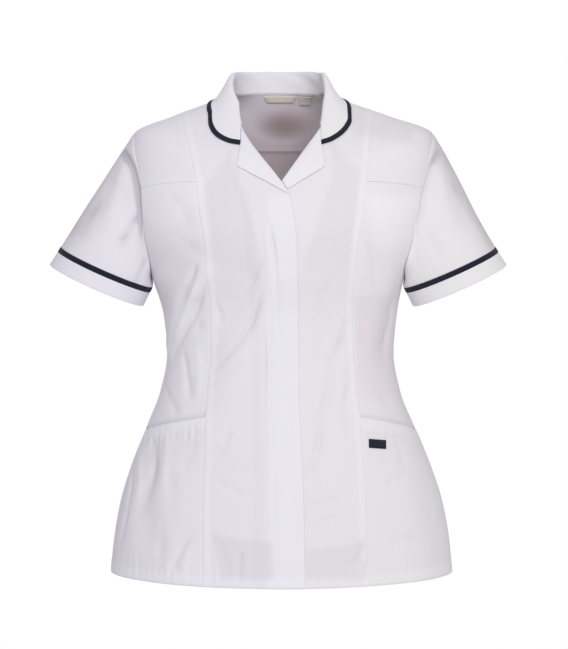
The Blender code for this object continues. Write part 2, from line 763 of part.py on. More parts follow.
def back_sides():
    """Shared lines up both sides of the back, from the wearer's left to the right."""
    lines = []
    for side in (1, -1):
        seam = chain(*side_seam_points(side))
        low, high = armhole_back_points(side)
        shoulder = chain(*shoulder_points(side))[::-1]
        turned = [np.stack([back_angle(side, part[:, 0]), part[:, 1]], -1)
                  for part in (seam, low, high, shoulder)]
        lines.append(turned)
    return lines


def back_walls(walls, side, part):
    """Wall vectors of the back armhole, underarm to yoke seam or yoke seam to shoulder tip."""
    top = ROWS_ARMHOLE_FRONT + ROWS_YOKE_FRONT
    loop = np.concatenate([walls[side][top:], walls[side][:1]])[::-1]
    if part == "low":
        return loop[:ROWS_ARMHOLE_BACK + 1]
    return loop[ROWS_ARMHOLE_BACK:]


def back(walls):
    """Back from the hem to the yoke seam, and the back yoke above it."""
    left, right = back_sides()
    a, b = left[1][-1], right[1][-1]
    u = a[0] + (b[0] - a[0]) * even(COLUMNS_BACK)
    seam = np.stack([u, level_at(u, np.full(len(u), BACK_YOKE_SEAM_Z))], -1)
    seam[0], seam[-1] = a, b
    under = len(left[0]) - 1
    waist = patch(left[0], right[0], hem_points(left[0][0], right[0][0], even(COLUMNS_BACK)),
                  straight(left[1][0], right[1][0], COLUMNS_BACK))
    upper = patch(left[1], right[1], waist[-1], seam, hold=BACK_HOLD)
    low = np.concatenate([waist, upper[1:]])
    neck = np.stack([np.linspace(90, 270, COLUMNS_BACK + 1), np.ones(COLUMNS_BACK + 1)], -1)
    high = patch(chain(left[2], left[3]), chain(right[2], right[3]), seam, neck, hold=BACK_HOLD)
    rows = np.concatenate([np.arange(under, len(low)), np.arange(under, len(low))])
    ends = np.concatenate([np.zeros(len(low) - under, int), np.full(len(low) - under, -1)])
    vectors = np.concatenate([back_walls(walls, 1, "low"), back_walls(walls, -1, "low")])
    body_panel("back", low, 0.0, ((rows, ends), vectors))
    count = ROWS_ARMHOLE_YOKE + 1
    rows = np.concatenate([np.arange(count), np.arange(count)])
    ends = np.concatenate([np.zeros(count, int), np.full(count, -1)])
    vectors = np.concatenate([back_walls(walls, 1, "high"), back_walls(walls, -1, "high")])
    body_panel("back_yoke", high, 0.0, ((rows, ends), vectors))


def lapel(side, word):
    """Lapel turned out along the roll line, lying on its front."""
    foot_to_gorge = inner_edge_points(side)[2]
    seen = torso(foot_to_gorge[:, 0], foot_to_gorge[:, 1])[:, [0, 2]]
    corner = (side * LAPEL_CORNER[0], LAPEL_CORNER[1])
    notch = (side * LAPEL_NOTCH[0], LAPEL_NOTCH[1])
    gorge = (side * LAPEL_GORGE[0], LAPEL_GORGE[1])
    seen[-1] = gorge
    if side > 0:
        seen = chain(straight(LEFT_LAPEL_FOOT, LEFT_LAPEL_CROSSING, 1),
                     straight(LEFT_LAPEL_CROSSING, gorge, ROWS_ROLL_LINE - 1))
    left = front_at(seen[:, 0], seen[:, 1])
    right = front_at(*straight(corner, notch, ROWS_ROLL_LINE).T)
    bottom = front_at(*straight(seen[0], corner, 4).T)
    top = front_at(*straight(gorge, notch, 4).T)
    grid = patch(left, right, bottom, top)
    lift = LAP_GAP + WALL + lap_lift(side, grid)
    return body_panel("lapel_" + word, grid, lift, edges=())


def neck_stations():
    """Collar stations on the neck seam, right gorge to left gorge: (u, v), points and normals.

    Stations between two points of the seam lie on the straight line between them."""
    steps = np.linspace(0, ROWS_FRONT_NECK, COLLAR_FRONT_STEPS + 1)
    whole = np.arange(ROWS_FRONT_NECK + 1)

    def between(values):
        return np.stack([np.interp(steps, whole, values[:, k]) for k in range(values.shape[1])], -1)

    right, left = (inner_edge_points(side)[3] for side in (-1, 1))
    ring = np.stack([np.linspace(270, 90, COLUMNS_BACK + 1), np.ones(COLUMNS_BACK + 1)], -1)
    seams = []
    for find in (lambda uv: uv, lambda uv: body(uv[:, 0], uv[:, 1]),
                 lambda uv: body_normal(uv[:, 0], uv[:, 1])):
        seams.append(chain(between(find(right)), find(ring), between(find(left))[::-1]))
    return seams[0], seams[1], unit(seams[2])


def collar_roll_points(seam_point, seam_normal):
    """Fold line of the collar at every station."""
    last = len(seam_point) - 1
    step = np.minimum(np.arange(last + 1), last - np.arange(last + 1))
    upright = np.array([0.0, 0.0, 1.0])
    rise = unit(upright + seam_normal * COLLAR_ROLL("lean", step)[:, None])
    return seam_point + rise * COLLAR_ROLL("height", step)[:, None]


def collar_edge_points():
    """(u, v) of the collar's outer edge at every station."""
    step = np.linspace(0, 5, 40)
    sides = []
    for side, word in ((-1, "right"), (1, "left")):
        x = side * COLLAR_EDGE_FRONT(word + "_x", step)
        low = front_at(x, COLLAR_EDGE_FRONT(word + "_z", step))
        over = straight(low[-1], (side * 90.0, COLLAR_EDGE_SHOULDER_V[word]), 8)
        line = Line(chain(low, over))
        sides.append(line.stretch(0, line.run[-1], even(COLLAR_FRONT_STEPS)))
    u = np.linspace(270, 90, COLUMNS_BACK + 1)
    fall = np.abs(np.cos(np.radians(u))) ** 1.5
    shoulder = np.linspace(*COLLAR_EDGE_SHOULDER_V.values(), COLUMNS_BACK + 1)
    v = shoulder + (COLLAR_EDGE_BACK_V - shoulder) * fall
    return chain(sides[0], np.stack([u, v], -1), sides[1][::-1])


def bezier(points, t):
    """Cubic curve of four control points (each an array of stations) at the shares t."""
    a, b, c, d = points
    t = np.asarray(t)[:, None, None]
    return (1 - t) ** 3 * a + 3 * t * (1 - t) ** 2 * b + 3 * t * t * (1 - t) * c + t ** 3 * d


def clear_of_body(rows, seam, edge_place, clear):
    """Rows of station points moved out to stay at least clear above the body beneath them."""
    share = even(24)[:, None, None]
    under = edge_place + (seam - edge_place) * share
    ground = body(under[..., 0], under[..., 1])
    normal = body_normal(under[..., 0], under[..., 1])
    station = np.arange(len(seam))
    moved = []
    for row in rows:
        nearest = np.argmin(np.linalg.norm(ground - row, axis=-1), axis=0)
        up = normal[nearest, station]
        height = np.sum((row - ground[nearest, station]) * up, axis=-1, keepdims=True)
        moved.append(row + up * np.maximum(clear - height, 0))
    return np.stack(moved)


def collar():
    """Collar stand, fold and fall in one wall, and the tape along its outer edge."""
    seam, seam_point, seam_normal = neck_stations()
    edge_place = collar_edge_points()
    half = COLLAR_WALL / 2
    roll = collar_roll_points(seam_point, seam_normal)
    along = np.gradient(seam_point, axis=0)
    out_of_panel = unit(np.cross(seam_normal, along))
    inside = np.array([0.0, 0.0, 20.0]) - seam_point
    out_of_panel = out_of_panel * np.sign(np.sum(out_of_panel * inside, axis=-1, keepdims=True))
    rise = unit(roll - seam_point)
    lean = np.linalg.norm(np.cross(out_of_panel, rise), axis=-1, keepdims=True)
    base = seam_point - seam_normal * WALL / 2 + out_of_panel * (SEAM_GAP + half * lean)
    edge_normal = body_normal(edge_place[:, 0], edge_place[:, 1])
    edge = body(edge_place[:, 0], edge_place[:, 1]) + edge_normal * (COLLAR_CLEAR + half)
    back_up = roll - edge
    back_up = unit(back_up - edge_normal * np.sum(back_up * edge_normal, axis=-1, keepdims=True))
    tape_top = edge + back_up * COLLAR_TAPE
    outwards = (edge - roll) * (1, 1, 0)
    outwards = unit(outwards)
    height = np.linalg.norm(roll - base, axis=-1, keepdims=True)
    bow = np.clip(height * 0.35, 1.6, 4.5)
    fall = np.linalg.norm(roll - tape_top, axis=-1, keepdims=True)
    stand = bezier((base, base + rise * height * 0.5, roll - outwards * bow, roll), STAND_SHARES)
    drop = bezier((roll, roll + outwards * bow * 1.3, tape_top + back_up * fall * 0.3, tape_top),
                  FALL_SHARES)
    drop = clear_of_body(drop, seam, edge_place, COLLAR_CLEAR + half)
    sheet = np.concatenate([stand, drop, edge[None]])
    normal = unit(np.cross(np.gradient(sheet, axis=1), np.gradient(sheet, axis=0)))
    normal = normal * np.sign(np.sum(normal[-1] * edge_normal))
    outer = sheet + normal * half
    inner = sheet - normal * half
    for name, rows, edge_name, finish in (("collar", slice(0, -1), "top", "white cloth"),
                                          ("collar_tape", slice(-2, None), "bottom", "blue tape")):
        outside = outer[rows].copy()
        behind = inner[rows].copy()
        draw_back(outside, behind, (edge_name,))
        cloth_wall(name, outside, behind, finish)


def inside_label(name, sides, heights, taper, thick):
    """Label or loop of tape sewn inside the back at the neck seam, its text left off."""
    left = np.array([[sides[0] + taper], [sides[0]]])
    right = np.array([[sides[1] - taper], [sides[1]]])
    x = left + (right - left) * even(4)
    v = level_at(np.full(2, 180.0), np.array(heights))[:, None] + 0 * x
    u = 180 - angle_at(x, v)
    outer = body(u, v, -(WALL + LABEL_GAP))
    inner = outer - body_normal(u, v) * thick
    return cloth_wall(name, outer, inner, "cream tape")


def pocket_tab():
    """Plain woven tab sewn on the wearer's left pocket, a little lower at its outer end."""
    rows = []
    for z in (TAB_BOTTOM_Z, TAB_BOTTOM_Z + TAB_HEIGHT):
        seen = straight((TAB_X[0], z), (TAB_X[1], z - TAB_DROP), 3)
        rows.append(front_at(seen[:, 0], seen[:, 1]))
    u, v = np.moveaxis(np.stack(rows), -1, 0)
    return cloth_wall("pocket_tab", body(u, v, TAB_GAP + TAB_THICK), body(u, v, TAB_GAP), "blue tape")


def build():
    """The whole tunic."""
    for item in list(bpy.data.objects):
        bpy.data.objects.remove(item)
    walls = {side: armhole_walls(side) for side in (-1, 1)}
    walls = {side: below_underarm(walls, side) for side in (-1, 1)}
    for side, word in ((-1, "right"), (1, "left")):
        front(side, word)
        side_front(side, word, walls[side])
        front_yoke(side, word, walls[side])
        sleeve(side, word)
        lapel(side, word)
    back(walls)
    collar()
    inside_label("hanger_loop", HANGER_LOOP_X, HANGER_LOOP_Z, HANGER_LOOP_TAPER, HANGER_LOOP_THICK)
    inside_label("size_label", SIZE_LABEL_X, SIZE_LABEL_Z, 0.0, SIZE_LABEL_THICK)
    pocket_tab()


build()
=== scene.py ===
"""Women's short-sleeved work tunic in white polyester and cotton cloth, in a plain studio.

The tunic is filled out as if worn, with no wearer. Each piece of cloth is a thin closed shell on
the same surface as its solid: a function of u, the angle round the body, and v, the way up it.
Seams, hems and creases are heights added to that surface. Stitches are small threads laid on it.

Sizes are in millimetres until new_mesh, which scales them to metres. The shaders and the studio
are in metres.
"""

from functools import cache

import bpy
import numpy as np
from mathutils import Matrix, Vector


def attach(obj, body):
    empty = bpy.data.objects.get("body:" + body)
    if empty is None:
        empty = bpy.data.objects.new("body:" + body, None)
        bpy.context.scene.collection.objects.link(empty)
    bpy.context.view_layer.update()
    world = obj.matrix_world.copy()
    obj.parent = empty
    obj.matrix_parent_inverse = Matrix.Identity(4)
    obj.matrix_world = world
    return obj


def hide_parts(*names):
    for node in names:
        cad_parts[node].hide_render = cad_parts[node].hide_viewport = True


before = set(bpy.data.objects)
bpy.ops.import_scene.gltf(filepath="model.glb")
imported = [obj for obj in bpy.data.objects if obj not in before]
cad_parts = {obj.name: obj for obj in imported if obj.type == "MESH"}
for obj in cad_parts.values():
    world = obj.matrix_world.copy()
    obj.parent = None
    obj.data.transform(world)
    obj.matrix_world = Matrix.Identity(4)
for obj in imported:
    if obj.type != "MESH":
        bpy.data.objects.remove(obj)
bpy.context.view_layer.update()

MM = 0.001
WALL = 1.4
THICK = 1.1
LAP_GAP = 0.8
POCKET_GAP = 0.5

# Heights on the body, from the neck points down.
HEM_Z = -664.0
V_TIP_Z = -150.0
V_TIP_X = 11.6
ROLL_START_Z = -131.5
CHEST_SEAM_Z = -129.5
CHEST_SEAM_ARMHOLE_Z = -136.0
PANEL_SEAM_TOP_Z = -80.0
NECK_POINT_Z = -25.0
BACK_YOKE_SEAM_Z = -72.0
POCKET_MOUTH_Z = -442.0
POCKET_MOUTH_SIDE_Z = -466.0
GORGE_Z = -51.0
NECK_BEND = (72.0, 0.991)

PANEL_SEAM_SHOULDER_X = 132.0
PANEL_SEAM_SHOULDER_DRIFT = -5.0
UNDERARM_V = 0.53
SHOULDER_TIP_V = 0.80
ARMHOLE_REACH_FRONT = 29.0
ARMHOLE_REACH_BACK = 26.0
ARMHOLE_ROUNDNESS = 0.75
SIDE_SEAM_LEAN = 8.0
SIDE_SEAM_TURN = 3.0
LAP_SHARES = (0.36, 0.46)
LAP_FADE_Z = (-131.0, -108.0)

# Rows of the cloth grids along each stretch of a seam.
ROWS_POCKET = 72
ROWS_SIDE_SEAM = 72
ROWS_ARMHOLE_FRONT = 56
ROWS_YOKE_FRONT = 40
ROWS_ROLL_LINE = 48
ROWS_FRONT_NECK = 24
ROWS_ARMHOLE_YOKE = 30
ROWS_ARMHOLE_BACK = 72
COLUMNS_FRONT = 84
COLUMNS_SIDE = 84
COLUMNS_YOKE = 30
COLUMNS_BACK = 150
BACK_HOLD = 6

# Sleeves: middle and half axes of the hem ellipse, the dark tape ring and the cuff below it.
SLEEVE_MIDDLE_RIGHT = (-253.0, -12.0, -265.0)
SLEEVE_MIDDLE_LEFT = (245.0, -12.0, -265.5)
SLEEVE_HEM_LONG = 70.0
SLEEVE_HEM_SHORT = 55.0
SLEEVE_HEM_TILT = 24.3
SLEEVE_TAPER = 0.5
SLEEVE_FLARE = 4.5
SLEEVE_FORWARD = -0.10
SLEEVE_SPREAD = 0.12
SLEEVE_SPREAD_TOP = 0.45
SLEEVE_ROWS = 56
CHEST_SEAM_TURN = 0.5
BACK_YOKE_SEAM_TURN = 0.25
SLEEVE_MIDST = (200.0, 0.0, -150.0)
CUFF_LENGTH = 21.0
SLEEVE_TAPE = 7.0

# Collar.
COLLAR_TAPE = 7.0
COLLAR_CLEAR = 1.0
COLLAR_FRONT_STEPS = 48
COLLAR_BACK_STEPS = 90
COLLAR_EDGE_SHOULDER_V = {"right": 0.954, "left": 0.961}
COLLAR_EDGE_BACK_V = 0.930
COLLAR_STAND_ROWS = 14
COLLAR_FALL_ROWS = 20
COLLAR_TAPE_ROWS = 5
COLLAR_STEPS = {"gorge": 0, "side": 6, "back": 13}
COLLAR_FOOT_GAP = 0.15
COLLAR_BOW = 0.35
COLLAR_BOWS = (1.6, 4.5)
NECK_MIDDLE = (0.0, 0.0, 20.0)

# The eye that sees the picture, and the plane through the front in which it is measured.
EYE = (4.0, -2400.0, -319.5)
PICTURE_Y = -130.0

# Depths of the hems, of the turnings beside a panel seam and of the stitching.
HEM_DEPTH = 15.0
MOUTH_HEM = 19.0
FLY_DEPTH = 36.0
CUFF_HEM = 17.0
LAPEL_STITCH = 5.0
TURNINGS = 10.0
ARMHOLE_TURNINGS = 9.0
STITCH_PITCH = 2.9
STITCH_LENGTH = 2.3
STITCH_RADIUS = 0.26

# Labels inside the neck and the plain tab on the left pocket.
LABEL_GAP = 0.9
HANGER_LOOP_X = (-25.0, 22.0)
HANGER_LOOP_Z = (-3.0, 4.5)
HANGER_LOOP_TAPER = 5.0
SIZE_LABEL_X = (27.0, 43.0)
SIZE_LABEL_Z = (-6.5, 5.0)
TAB_X = (116.0, 139.0)
TAB_BOTTOM_Z = -482.0
TAB_HEIGHT = 11.0
TAB_DROP = 2.5

# Edges of a panel: a sewn one has a groove this deep, a hem has its depth and the strength of
# its puckers. By side (-1 the wearer's right): the chest seam, and how far the pocket's mouth
# gapes with the pull of its thread.
GROOVES = {"seam": 0.5, "flat": 0.2, "faint": 0.08, "pressed": 0.5}
HEMS = {"hem": (HEM_DEPTH, 0.34), "mouth": (MOUTH_HEM, 0.42), "fly": (FLY_DEPTH, 0.12)}
CHEST_SEAM = {-1: "faint", 1: "flat"}
MOUTHS = {-1: (1.8, 2.2), 1: (0.4, 0.9)}
SIDES = ((-1, "right"), (1, "left"))

# Rows or columns of a grid at each of its edges, and the ones next to them.
EDGES = {
    "left": (np.s_[:, 0], np.s_[:, 1]),
    "right": (np.s_[:, -1], np.s_[:, -2]),
    "bottom": (np.s_[0], np.s_[1]),
    "top": (np.s_[-1], np.s_[-2]),
}

# Tones of the pieces, from 0 where dark layers lie behind the cloth to 1 where it is thickest,
# the least tone of the outside, and what turnings, hems and each millimetre of a crease add:
# painted shade in a crease's trough and, on the body, painted light on its ridge.
PLAIN = 0.5
POCKET = 0.52
FRONT_YOKE = 0.54
BACK_YOKE = 0.55
CUFF = 0.6
COLLAR = 0.62
LAPEL = 0.66
LEAST = 0.01
OVER_TURNINGS = 0.13
OVER_HEM = 0.10
OVER_ARMHOLE = 0.10
CREASE_SHADE = 0.03
SLEEVE_CREASE_SHADE = {-1: 0.15, 1: 0.10}

# Bulge of a rim, as a share of the wall it closes.
RIM = 0.35

# Steps in u and v for a direction of the surface, rounds of the searches on it, points of a
# long line, and pieces of a crease's path.
STEP_U = 0.4
STEP_V = 0.002
HALVINGS = 24
FRONT_ROUNDS = 30
LINE_POINTS = 80
CREASE_PIECES = 12

# Threads of the weave and ribs of the tapes, in metres from one to the next.
WEAVE_PITCH = 0.0009
TAPE_RIB_PITCH = 0.0011
LABEL_RIB_PITCHES = (0.0007, 0.0012)

# Studio, in metres: lights by place, width, power and colour, the point they face, the floor and
# the camera's lens in millimetres.
LIGHTS = (
    ("front light", (0.42, -2.9, 0.8), 1.9, 47.5, (1.0, 0.99, 0.98)),
    ("back light", (-0.5, 3.2, 0.4), 1.8, 40.0, (1.0, 1.0, 1.0)),
)
LIT_POINT = (0.0, 0.0, -0.33)
FLOOR_Z = -1.05
FLOOR_RADIUS = 1.5
CAMERA_LENS = 96.47


def smooth(xs, ys, at):
    """Cubic through the points (xs, ys) that never swings past them."""
    xs = np.asarray(xs, float)
    ys = np.asarray(ys, float)
    step = np.diff(xs)
    slope = np.diff(ys) / step
    product = slope[:-1] * slope[1:]
    total = np.where(product > 0, slope[:-1] + slope[1:], 1.0)
    middle = np.where(product > 0, 2 * product / total, 0.0)
    tangent = np.concatenate([slope[:1], middle, slope[-1:]])
    at = np.asarray(at, float)
    k = np.clip(np.searchsorted(xs, at) - 1, 0, len(step) - 1)
    t = (at - xs[k]) / step[k]
    rise = (1 + 2 * t) * (1 - t) ** 2 * ys[k] + t * t * (3 - 2 * t) * ys[k + 1]
    lean = t * (1 - t) ** 2 * tangent[k] - t * t * (1 - t) * tangent[k + 1]
    return rise + lean * step[k]


class Table:
    """A short table with named columns, read smoothly along its first column."""

    def __init__(self, names, rows):
        self.names = names.split()
        self.columns = dict(zip(self.names, np.array(rows, float).T))

    def __call__(self, name, at):
        """The column of that name, at places along the first one."""
        return smooth(self.columns[self.names[0]], self.columns[name], at)

    def rows(self):
        return zip(*(self.columns[name] for name in self.names))


# Rings of the body: half width, depth before and behind, heights at the side, front and back,
# the power of the ring's superellipse and its shift along X.
RINGS = Table("v side front back z_side z_front z_back power shift", [
    (0.000, 235.0, 135, 126, -658, -664, -662, 2.10, 1.0),
    (0.065, 230.5, 133, 127, -610, -610, -610, 2.10, 1.0),
    (0.130, 221.0, 131, 126, -560, -560, -560, 2.10, 0.5),
    (0.195, 205.0, 128, 121, -510, -510, -510, 2.10, 0.0),
    (0.260, 184.5, 124, 112, -460, -460, -460, 2.15, -0.5),
    (0.325, 165.0, 119, 100, -410, -410, -410, 2.15, -1.0),
    (0.390, 156.0, 116, 93, -358, -358, -358, 2.20, -1.0),
    (0.450, 160.0, 118, 94, -312, -312, -312, 2.20, -1.5),
    (0.530, 175.0, 129, 106, -250, -252, -250, 2.20, -4.0),
    (0.600, 200.0, 131, 112, -200, -208, -200, 2.20, -3.0),
    (0.680, 212.0, 122, 112, -140, -165, -150, 2.20, 0.0),
    (0.760, 214.0, 108, 107, -85, -130, -105, 2.20, 2.0),
    (0.800, 206.0, 101, 102, -57, -112, -85, 2.20, 3.0),
    (0.870, 150.0, 85, 90, -33, -86, -48, 2.15, 0.0),
    (0.940, 100.0, 68, 77, -15, -64, -16, 2.10, -2.0),
    (1.000, 62.0, 52, 62, 0, -45, 7, 2.00, -4.0),
])

# Broad folds: a soft ridge (or trough, where height is negative) along a line in (u, v).
FOLDS = Table("u0 v0 u1 v1 width height", [
    (-33, 0.530, -74, 0.405, 15, 4.0),
    (-36, 0.575, -80, 0.470, 16, -3.5),
    (-42, 0.470, -66, 0.400, 13, -3.0),
    (-12, 0.520, -36, 0.375, 16, -2.5),
    (-20, 0.380, -30, 0.250, 20, 2.0),
    (20, 0.440, 10, 0.230, 18, -2.5),
    (-62, 0.215, -50, 0.080, 18, -3.5),
    (-44, 0.180, -38, 0.020, 22, 2.5),
    (48, 0.150, 52, 0.000, 24, 2.5),
    (75, 0.520, 62, 0.400, 20, -2.5),
    (108, 0.300, 104, 0.020, 26, -4.0),
    (132, 0.280, 136, 0.000, 26, 4.0),
    (160, 0.240, 164, 0.000, 26, -4.0),
    (192, 0.230, 190, 0.000, 28, 4.0),
    (222, 0.260, 218, 0.000, 26, -4.0),
    (250, 0.280, 252, 0.020, 26, 3.5),
    (150, 0.470, 196, 0.420, 18, -3.0),
    (212, 0.480, 172, 0.395, 18, 3.0),
    (128, 0.600, 150, 0.500, 20, -3.0),
    (234, 0.600, 212, 0.500, 20, -3.0),
])
FOLD_MM_PER_DEGREE = 2.4
FOLD_MM_PER_V = 690.0

# Distance of the panel seam from the middle, seen from the front.
PANEL_SEAM = Table("z x", [
    (-664, 109.5),
    (-539, 107.5),
    (-489, 105.0),
    (-444, 103.0),
    (-389, 99.0),
    (-337, 95.5),
    (-287, 95.0),
    (-248, 99.0),
    (-208, 103.0),
    (-168, 109.0),
    (-131, 113.5),
    (-98, 118.5),
    (-80, 121.0),
])

# Drift: the panel seams lie this much to the wearer's left of a mirrored pair.
DRIFT = Table("z x", [
    (-664, 6.5),
    (-450, 3.0),
    (-250, 0.0),
    (-131, 0.0),
    (-80, -3.0),
])

# Edge of the overlapping right front, and of the left front hidden under it.
FRONT_EDGE = Table("z over under", [
    (-664, 31.3, -15.5),
    (-562, 29.5, -16.0),
    (-488, 27.0, -18.0),
    (-413, 23.3, -19.0),
    (-312, 22.5, -19.0),
    (-208, 20.3, -18.0),
    (-175, 16.0, -15.0),
    (V_TIP_Z, V_TIP_X, -V_TIP_X),
])

# Roll line from the foot of the V to the neck point, seen from the front (mirrored).
ROLL_LINE = Table("z x", [
    (ROLL_START_Z, 0.0),
    (-50.0, 54.0),
    (NECK_POINT_Z, 59.0),
])

# Corners of a lapel, seen from the front (mirrored).
LAPEL_GORGE = (53.6, -54.5)
LAPEL_NOTCH = (53.3, -76.0)
LAPEL_CORNER = (57.5, -110.5)
LEFT_LAPEL_FOOT = (8.6, -141.5)
LEFT_LAPEL_CROSSING = (1.5, -130.0)
LAPEL_ROWS = 40
LAPEL_COLUMNS = 30

# Fold of the collar over the neck seam, from the gorge (step 0) to the side of the neck (6) and
# the centre back (13): its height, and how far it leans with the body's surface from upright.
COLLAR_ROLL = Table("step height lean", [
    (0.0, 3.0, 0.6),
    (1.0, 4.5, 0.6),
    (2.0, 7.0, 0.5),
    (3.0, 11.0, 0.3),
    (4.0, 16.0, 0.1),
    (5.0, 22.0, 0.0),
    (6.0, 27.5, 0.0),
    (8.0, 30.5, 0.1),
    (10.0, 32.0, 0.3),
    (13.0, 32.5, 0.4),
])

# Outer edge of the collar: front points of both sides, their x away from the middle.
COLLAR_EDGE_FRONT = Table("step right_x right_z left_x left_z", [
    (0.0, 55.0, -80.0, 54.0, -79.5),
    (1.0, 67.0, -78.0, 65.0, -76.0),
    (2.0, 80.5, -72.5, 78.0, -68.5),
    (3.0, 91.5, -63.0, 89.0, -57.5),
    (4.0, 97.5, -49.0, 95.0, -44.0),
    (5.0, 98.5, -34.0, 95.0, -30.0),
])

# Creases seen on the front: each passes three points of the picture's plane. A negative height
# is a trough.
FRONT_CREASES = Table("x0 z0 x1 z1 x2 z2 width height", [
    (-109, -237, -120, -267, -136, -298, 5.5, -3.8),
    (-103, -254, -123, -303, -143, -353, 5.5, 4.0),
    (-97, -267, -115, -307, -140, -350, 4.5, -3.8),
    (-100, -330, -108, -322, -118, -318, 9.0, -1.6),
    (-128, -353, -123, -386, -119, -422, 6.0, -2.4),
    (-112, -347, -107, -386, -112, -426, 7.0, 1.2),
    (-153, -399, -144, -419, -133, -439, 6.0, -1.8),
    (-25, -268, -44, -326, -94, -382, 4.2, -3.6),
    (-18, -284, -34, -338, -76, -378, 7.0, 1.2),
    (-24, -241, -38, -265, -50, -287, 3.6, -1.8),
    (-20, -178, -10, -219, -6, -290, 2.3, -3.4),
    (-24, -190, -16, -230, -12, -280, 3.4, 1.0),
    (-6, -267, -4, -300, -4, -340, 2.4, -1.2),
    (-22, -327, -21, -373, -22, -422, 2.4, -2.0),
    (-87, -291, -80, -307, -78, -323, 4.0, -1.6),
    (-65, -446, -75, -479, -90, -498, 5.0, -1.4),
    (-54, -611, -53, -633, -57, -659, 4.0, -2.0),
    (-78, -604, -73, -630, -65, -650, 6.0, -0.8),
    (-168, -468, -169, -514, -190, -575, 9.0, -3.6),
    (-186, -488, -186, -525, -192, -558, 7.0, 1.6),
    (-148, -460, -151, -500, -156, -540, 7.0, 1.4),
    (-194, -505, -198, -545, -212, -617, 5.0, -2.0),
    (-112, -591, -132, -617, -140, -646, 4.5, -3.0),
    (-120, -611, -125, -630, -128, -657, 5.0, 1.2),
    (-153, -570, -156, -611, -160, -644, 8.0, -1.4),
    (-112, -472, -120, -492, -133, -511, 6.0, -1.2),
    (-140, -500, -142, -540, -140, -590, 10.0, -1.4),
    (86, -311, 80, -345, 67, -375, 8.0, -3.2),
    (66, -356, 63, -410, 50, -460, 7.0, -3.2),
    (54, -440, 46, -490, 29, -524, 5.0, -3.2),
    (81, -373, 78, -399, 73, -426, 7.0, 0.8),
    (111, -604, 102, -621, 91, -637, 5.0, -1.8),
    (112, -615, 107, -633, 102, -654, 4.0, 1.2),
    (136, -529, 149, -523, 164, -522, 5.0, -1.4),
    (180, -555, 190, -562, 200, -568, 5.0, -1.2),
    (145, -596, 165, -600, 192, -608, 7.0, -1.6),
    (118, -500, 126, -515, 140, -520, 5.0, 1.0),
    (150, -470, 158, -490, 160, -510, 6.0, -1.0),
    (147, -287, 141, -327, 131, -360, 7.0, -1.6),
    (120, -399, 131, -413, 147, -426, 7.0, -1.2),
    (111, -208, 121, -237, 125, -274, 5.0, -1.0),
    (70, -250, 60, -275, 45, -292, 7.0, -0.9),
    (32, -560, 58, -553, 91, -540, 7.0, -1.3),
    (91, -393, 85, -432, 93, -472, 5.0, -1.4),
    (44, -590, 60, -575, 84, -572, 6.0, -1.0),
    (-84, -520, -66, -536, -34, -540, 6.0, -1.1),
    (-30, -470, -40, -500, -62, -524, 6.0, -1.0),
    (-150, -148, -130, -170, -118, -200, 7.0, -1.1),
])

# The same for the front of the sleeves.
SLEEVE_FRONT_CREASES = Table("x0 z0 x1 z1 x2 z2 width height", [
    (-210, -92, -187, -142, -173, -244, 7.0, -7.0),
    (-204, -106, -216, -152, -228, -206, 12.0, 3.4),
    (-186, -172, -200, -196, -212, -222, 6.0, -2.4),
    (-218, -130, -242, -172, -262, -212, 9.0, -1.2),
    (-170, -226, -182, -252, -190, -268, 5.0, -1.6),
    (208, -92, 188, -140, 171, -240, 6.5, -4.6),
    (207, -110, 214, -152, 222, -212, 12.0, 2.6),
    (216, -120, 230, -162, 238, -206, 12.0, -1.6),
    (186, -186, 200, -212, 214, -240, 6.0, -1.0),
])

# Creases on the sides and the back, as lines in (u, v).
BACK_CREASES = Table("u0 v0 u1 v1 bow width height", [
    (106, 0.520, 150, 0.440, 8, 5.5, -3.2),
    (104, 0.500, 140, 0.425, 8, 5.5, 2.4),
    (106, 0.465, 132, 0.405, 6, 5.0, -2.6),
    (254, 0.520, 212, 0.445, -8, 5.5, -3.0),
    (258, 0.495, 220, 0.425, -8, 5.5, 2.4),
    (256, 0.460, 228, 0.400, -6, 5.0, -2.4),
    (150, 0.415, 212, 0.400, 6, 6.0, -2.4),
    (146, 0.385, 204, 0.372, -5, 6.0, -1.8),
    (160, 0.440, 190, 0.432, 4, 5.0, 1.4),
    (124, 0.640, 150, 0.560, 6, 6.0, -2.6),
    (130, 0.600, 160, 0.530, 6, 7.0, -1.8),
    (236, 0.640, 208, 0.560, -6, 6.0, -2.4),
    (232, 0.600, 200, 0.530, -6, 7.0, -1.8),
    (128, 0.250, 134, 0.060, 6, 8.0, -2.6),
    (178, 0.220, 176, 0.020, 5, 8.0, -2.2),
    (236, 0.240, 232, 0.050, -6, 8.0, -2.6),
    (152, 0.180, 156, 0.010, 4, 7.0, 1.8),
    (206, 0.200, 210, 0.020, -4, 7.0, 1.8),
    (96, 0.430, 112, 0.380, 3, 5.0, -1.8),
    (264, 0.430, 246, 0.380, -3, 5.0, -1.8),
    (104, 0.340, 120, 0.240, 4, 7.0, -1.6),
    (256, 0.340, 240, 0.240, -4, 7.0, -1.6),
    (170, 0.740, 182, 0.640, 6, 8.0, -1.6),
    (200, 0.720, 196, 0.640, 6, 8.0, -1.4),
])

# Creases on the sleeves' other sides: way round in degrees (0 outside, 90 front), way down.
SLEEVE_CREASES = Table("turn0 down0 turn1 down1 bow width height", [
    (-125, 0.10, -105, 0.80, 5, 7.0, -3.4),
    (-60, 0.05, -84, 0.80, 5, 7.0, -2.6),
    (-92, 0.12, -94, 0.70, 4, 8.0, 2.0),
])


